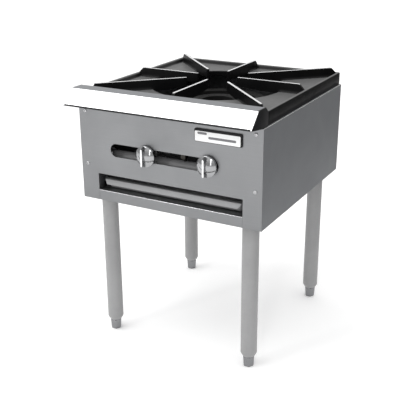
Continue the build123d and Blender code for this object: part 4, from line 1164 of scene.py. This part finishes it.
def screw_head(place, radius, height, facing):
    """A pan head with a cross recess, as points and faces.

    Over the head's radius and angle, the height is a flattened dome: height times the root of one minus
    the radius share to the fourth. The recess takes away a smooth step of each arm's distance.
    """
    angle = np.linspace(0, 2 * pi, 64, endpoint=False)
    share = np.concatenate([np.linspace(0.001, 0.62, 12), np.linspace(0.66, 1.0, 9)])
    r, t = np.meshgrid(share, angle, indexing="ij")
    dome = np.sqrt(np.clip(1 - r ** 4, 0, 1))
    arm = np.minimum(np.abs(r * np.sin(t)), np.abs(r * np.cos(t)))
    cut = np.clip((0.15 - arm) / 0.06, 0, 1) * np.clip((0.58 - r) / 0.08, 0, 1)
    rise = height * (dome - 0.55 * cut * (3 - 2 * cut) * cut)
    rows = np.stack([place[0] + radius * r * np.cos(t), place[1] + facing * rise,
                     place[2] + radius * r * np.sin(t)], -1)
    return capped(rows)


class RANGE_OT_screws(bpy.types.Operator):
    """Pan-head screws with cross recesses on the front and rear panels."""
    bl_idname = "range.screws"
    bl_label = "Screws"

    radius: metres("Head radius", "Radius of a screw head", 0.0042)
    height: metres("Head height", "Height of a screw head", 0.0022)

    def execute(self, context):
        for node, facing, columns in (("front_panel_screws", -1, 2), ("rear_panel_screws", 1, 3)):
            low, high = corners(node)
            face = (low[1] + self.height) if facing < 0 else (high[1] - self.height)
            parts = []
            for x in np.linspace(low[0] + self.radius, high[0] - self.radius, columns):
                for z in (low[2] + self.radius, high[2] - self.radius):
                    parts.append(screw_head((x, face, z), self.radius, self.height, facing))
            piece = new_object(node + "_heads", *joined(parts), smooth_angle=radians(40))
            finish_piece(piece, node, FINISH["screw_steel"])
        return {"FINISHED"}


# ---------------------------------------------------------------- stage

WHITE = (1.0, 1.0, 1.0, 1.0)
# half the floor's width, and the rise of a ray over which the room goes from dim to bright
FLOOR_HALF = 12.0
HORIZON = (0.25, 0.8)
# each flag is a flat cloth from one ground point to another, between two heights
FLAGS = {
    "right_flag": ((0.55, -0.3), (0.55, 2.6), 0.0, 0.8),
    "front_flag": ((-1.6, -0.65), (0.9, -0.65), 0.01, 0.11),
}


def flat_sheet(name, points, material):
    """A stage object of one face with four corners."""
    mesh = bpy.data.meshes.new(name)
    mesh.from_pydata(points, [], [(0, 1, 2, 3)])
    mesh.materials.append(material)
    sheet = placed(name, mesh)
    return sheet


class RANGE_OT_stage(bpy.types.Operator):
    """Floor, soft boxes, even room light and the camera."""
    bl_idname = "range.stage"
    bl_label = "Stage"

    def execute(self, context):
        settings = context.scene.range_stage
        material, tree, shader, place = blank_material("floor_paint")
        cloud = shared(tree, "soft_clouds", {"Vector": place, "Scale": 1.5})
        fill(tree, shader, {"Base Color": clouded(tree, cloud["Tone"], settings.floor, 0.995, 1.0),
                            "Roughness": 0.9, "Emission Color": WHITE, "Emission Strength": settings.glow})
        flat_sheet("floor", [(-FLOOR_HALF, -FLOOR_HALF, 0), (FLOOR_HALF, -FLOOR_HALF, 0),
                             (FLOOR_HALF, FLOOR_HALF, 0), (-FLOOR_HALF, FLOOR_HALF, 0)], material)

        world = bpy.data.worlds.new("room")
        world.use_nodes = True
        # the room is dimmer near the horizon and brightens towards the ceiling
        room = world.node_tree
        way = add(room, "ShaderNodeTexCoord").outputs["Generated"]
        rise = add(room, "ShaderNodeSeparateXYZ", {"Vector": way}).outputs["Z"]
        level = ranged(room, rise, settings.horizon, settings.room, *HORIZON)
        seen = add(room, "ShaderNodeLightPath").outputs["Is Camera Ray"]
        fill(room, room.nodes["Background"], {"Strength": mix_value(room, seen, level, 1.0),
                                              "Color": WHITE})
        context.scene.world = world

        # black cloths that only reflections see, for contrast on plated and painted faces
        cloth, tree, shader, _ = blank_material("cloth")
        fill(tree, shader, {"Base Color": (*[settings.flag] * 3, 1.0), "Roughness": 1.0})
        for label, (start, stop, foot, head) in FLAGS.items():
            flag = flat_sheet(label, [(*start, foot), (*stop, foot), (*stop, head), (*start, head)], cloth)
            flag.visible_camera = flag.visible_diffuse = flag.visible_shadow = False

        target = Vector((0, 0, CAD_BOX[1][2] * 0.7))
        for label, offset, width, height, power in (
                ("overhead", (-1.1, -0.9, 2.2), 1.8, 1.8, settings.overhead),
                ("left_strip", (-2.1, -4.0, 1.8), 0.35, 3.2, settings.front),
                ("right_strip", (1.2, -4.0, 1.8), 0.35, 3.2, settings.front)):
            light = bpy.data.lights.new(label, "AREA")
            light.shape, light.energy = "RECTANGLE", power
            light.size, light.size_y = width, height
            lamp = placed(label, light)
            lamp.location = target + Vector(offset)
            lamp.rotation_euler = (-Vector(offset)).to_track_quat("-Z", "Y").to_euler()

        camera = bpy.data.cameras.new("camera")
        camera.lens, camera.sensor_width = settings.lens, 36.0
        camera.shift_x, camera.shift_y = settings.shift
        view = placed("camera", camera)
        turn = (Euler((0, 0, settings.azimuth)).to_matrix()
                @ Euler((pi / 2 - settings.drop, 0, 0)).to_matrix()
                @ Euler((0, 0, settings.roll)).to_matrix())
        view.rotation_euler = turn.to_euler()
        view.location = Vector(settings.aim) + turn @ Vector((0, 0, settings.distance))
        context.scene.camera = view
        context.scene.view_settings.view_transform = "Standard"
        return {"FINISHED"}


# ---------------------------------------------------------------- panel and running

STEPS = (RANGE_OT_stage, RANGE_OT_sheet_metal, RANGE_OT_ledge, RANGE_OT_cast_top, RANGE_OT_burners,
         RANGE_OT_gas_train, RANGE_OT_knobs, RANGE_OT_tray, RANGE_OT_legs, RANGE_OT_badge,
         RANGE_OT_screws)


class RANGE_PT_sidebar(bpy.types.Panel):
    """Lists the steps that finish the range."""
    bl_idname = "RANGE_PT_sidebar"
    bl_label = "Stock Pot Range"
    bl_space_type = "VIEW_3D"
    bl_region_type = "UI"
    bl_category = "Range"

    def draw(self, context):
        column = self.layout.column(align=True)
        for step in STEPS:
            column.operator(step.bl_idname)


CLASSES = (RangeStageSettings, RangeShapeSettings, RangeFinishSettings, *STEPS, RANGE_PT_sidebar)


def register():
    for entry in CLASSES:
        bpy.utils.register_class(entry)
    bpy.types.Scene.range_stage = bpy.props.PointerProperty(type=RangeStageSettings)
    bpy.types.Scene.range_shape = bpy.props.PointerProperty(type=RangeShapeSettings)
    bpy.types.Scene.range_finish = bpy.props.PointerProperty(type=RangeFinishSettings)


def unregister():
    del bpy.types.Scene.range_finish
    del bpy.types.Scene.range_shape
    del bpy.types.Scene.range_stage
    for entry in reversed(CLASSES):
        bpy.utils.unregister_class(entry)


def main():
    """Finishes every piece."""
    register()
    FINISH.update(make_finishes(bpy.context.scene.range_finish))
    for step in STEPS:
        group, name = step.bl_idname.split(".")
        if getattr(getattr(bpy.ops, group), name)() != {"FINISHED"}:
            raise RuntimeError(step.bl_label + " did not finish")


if __name__ == "__main__":
    main()
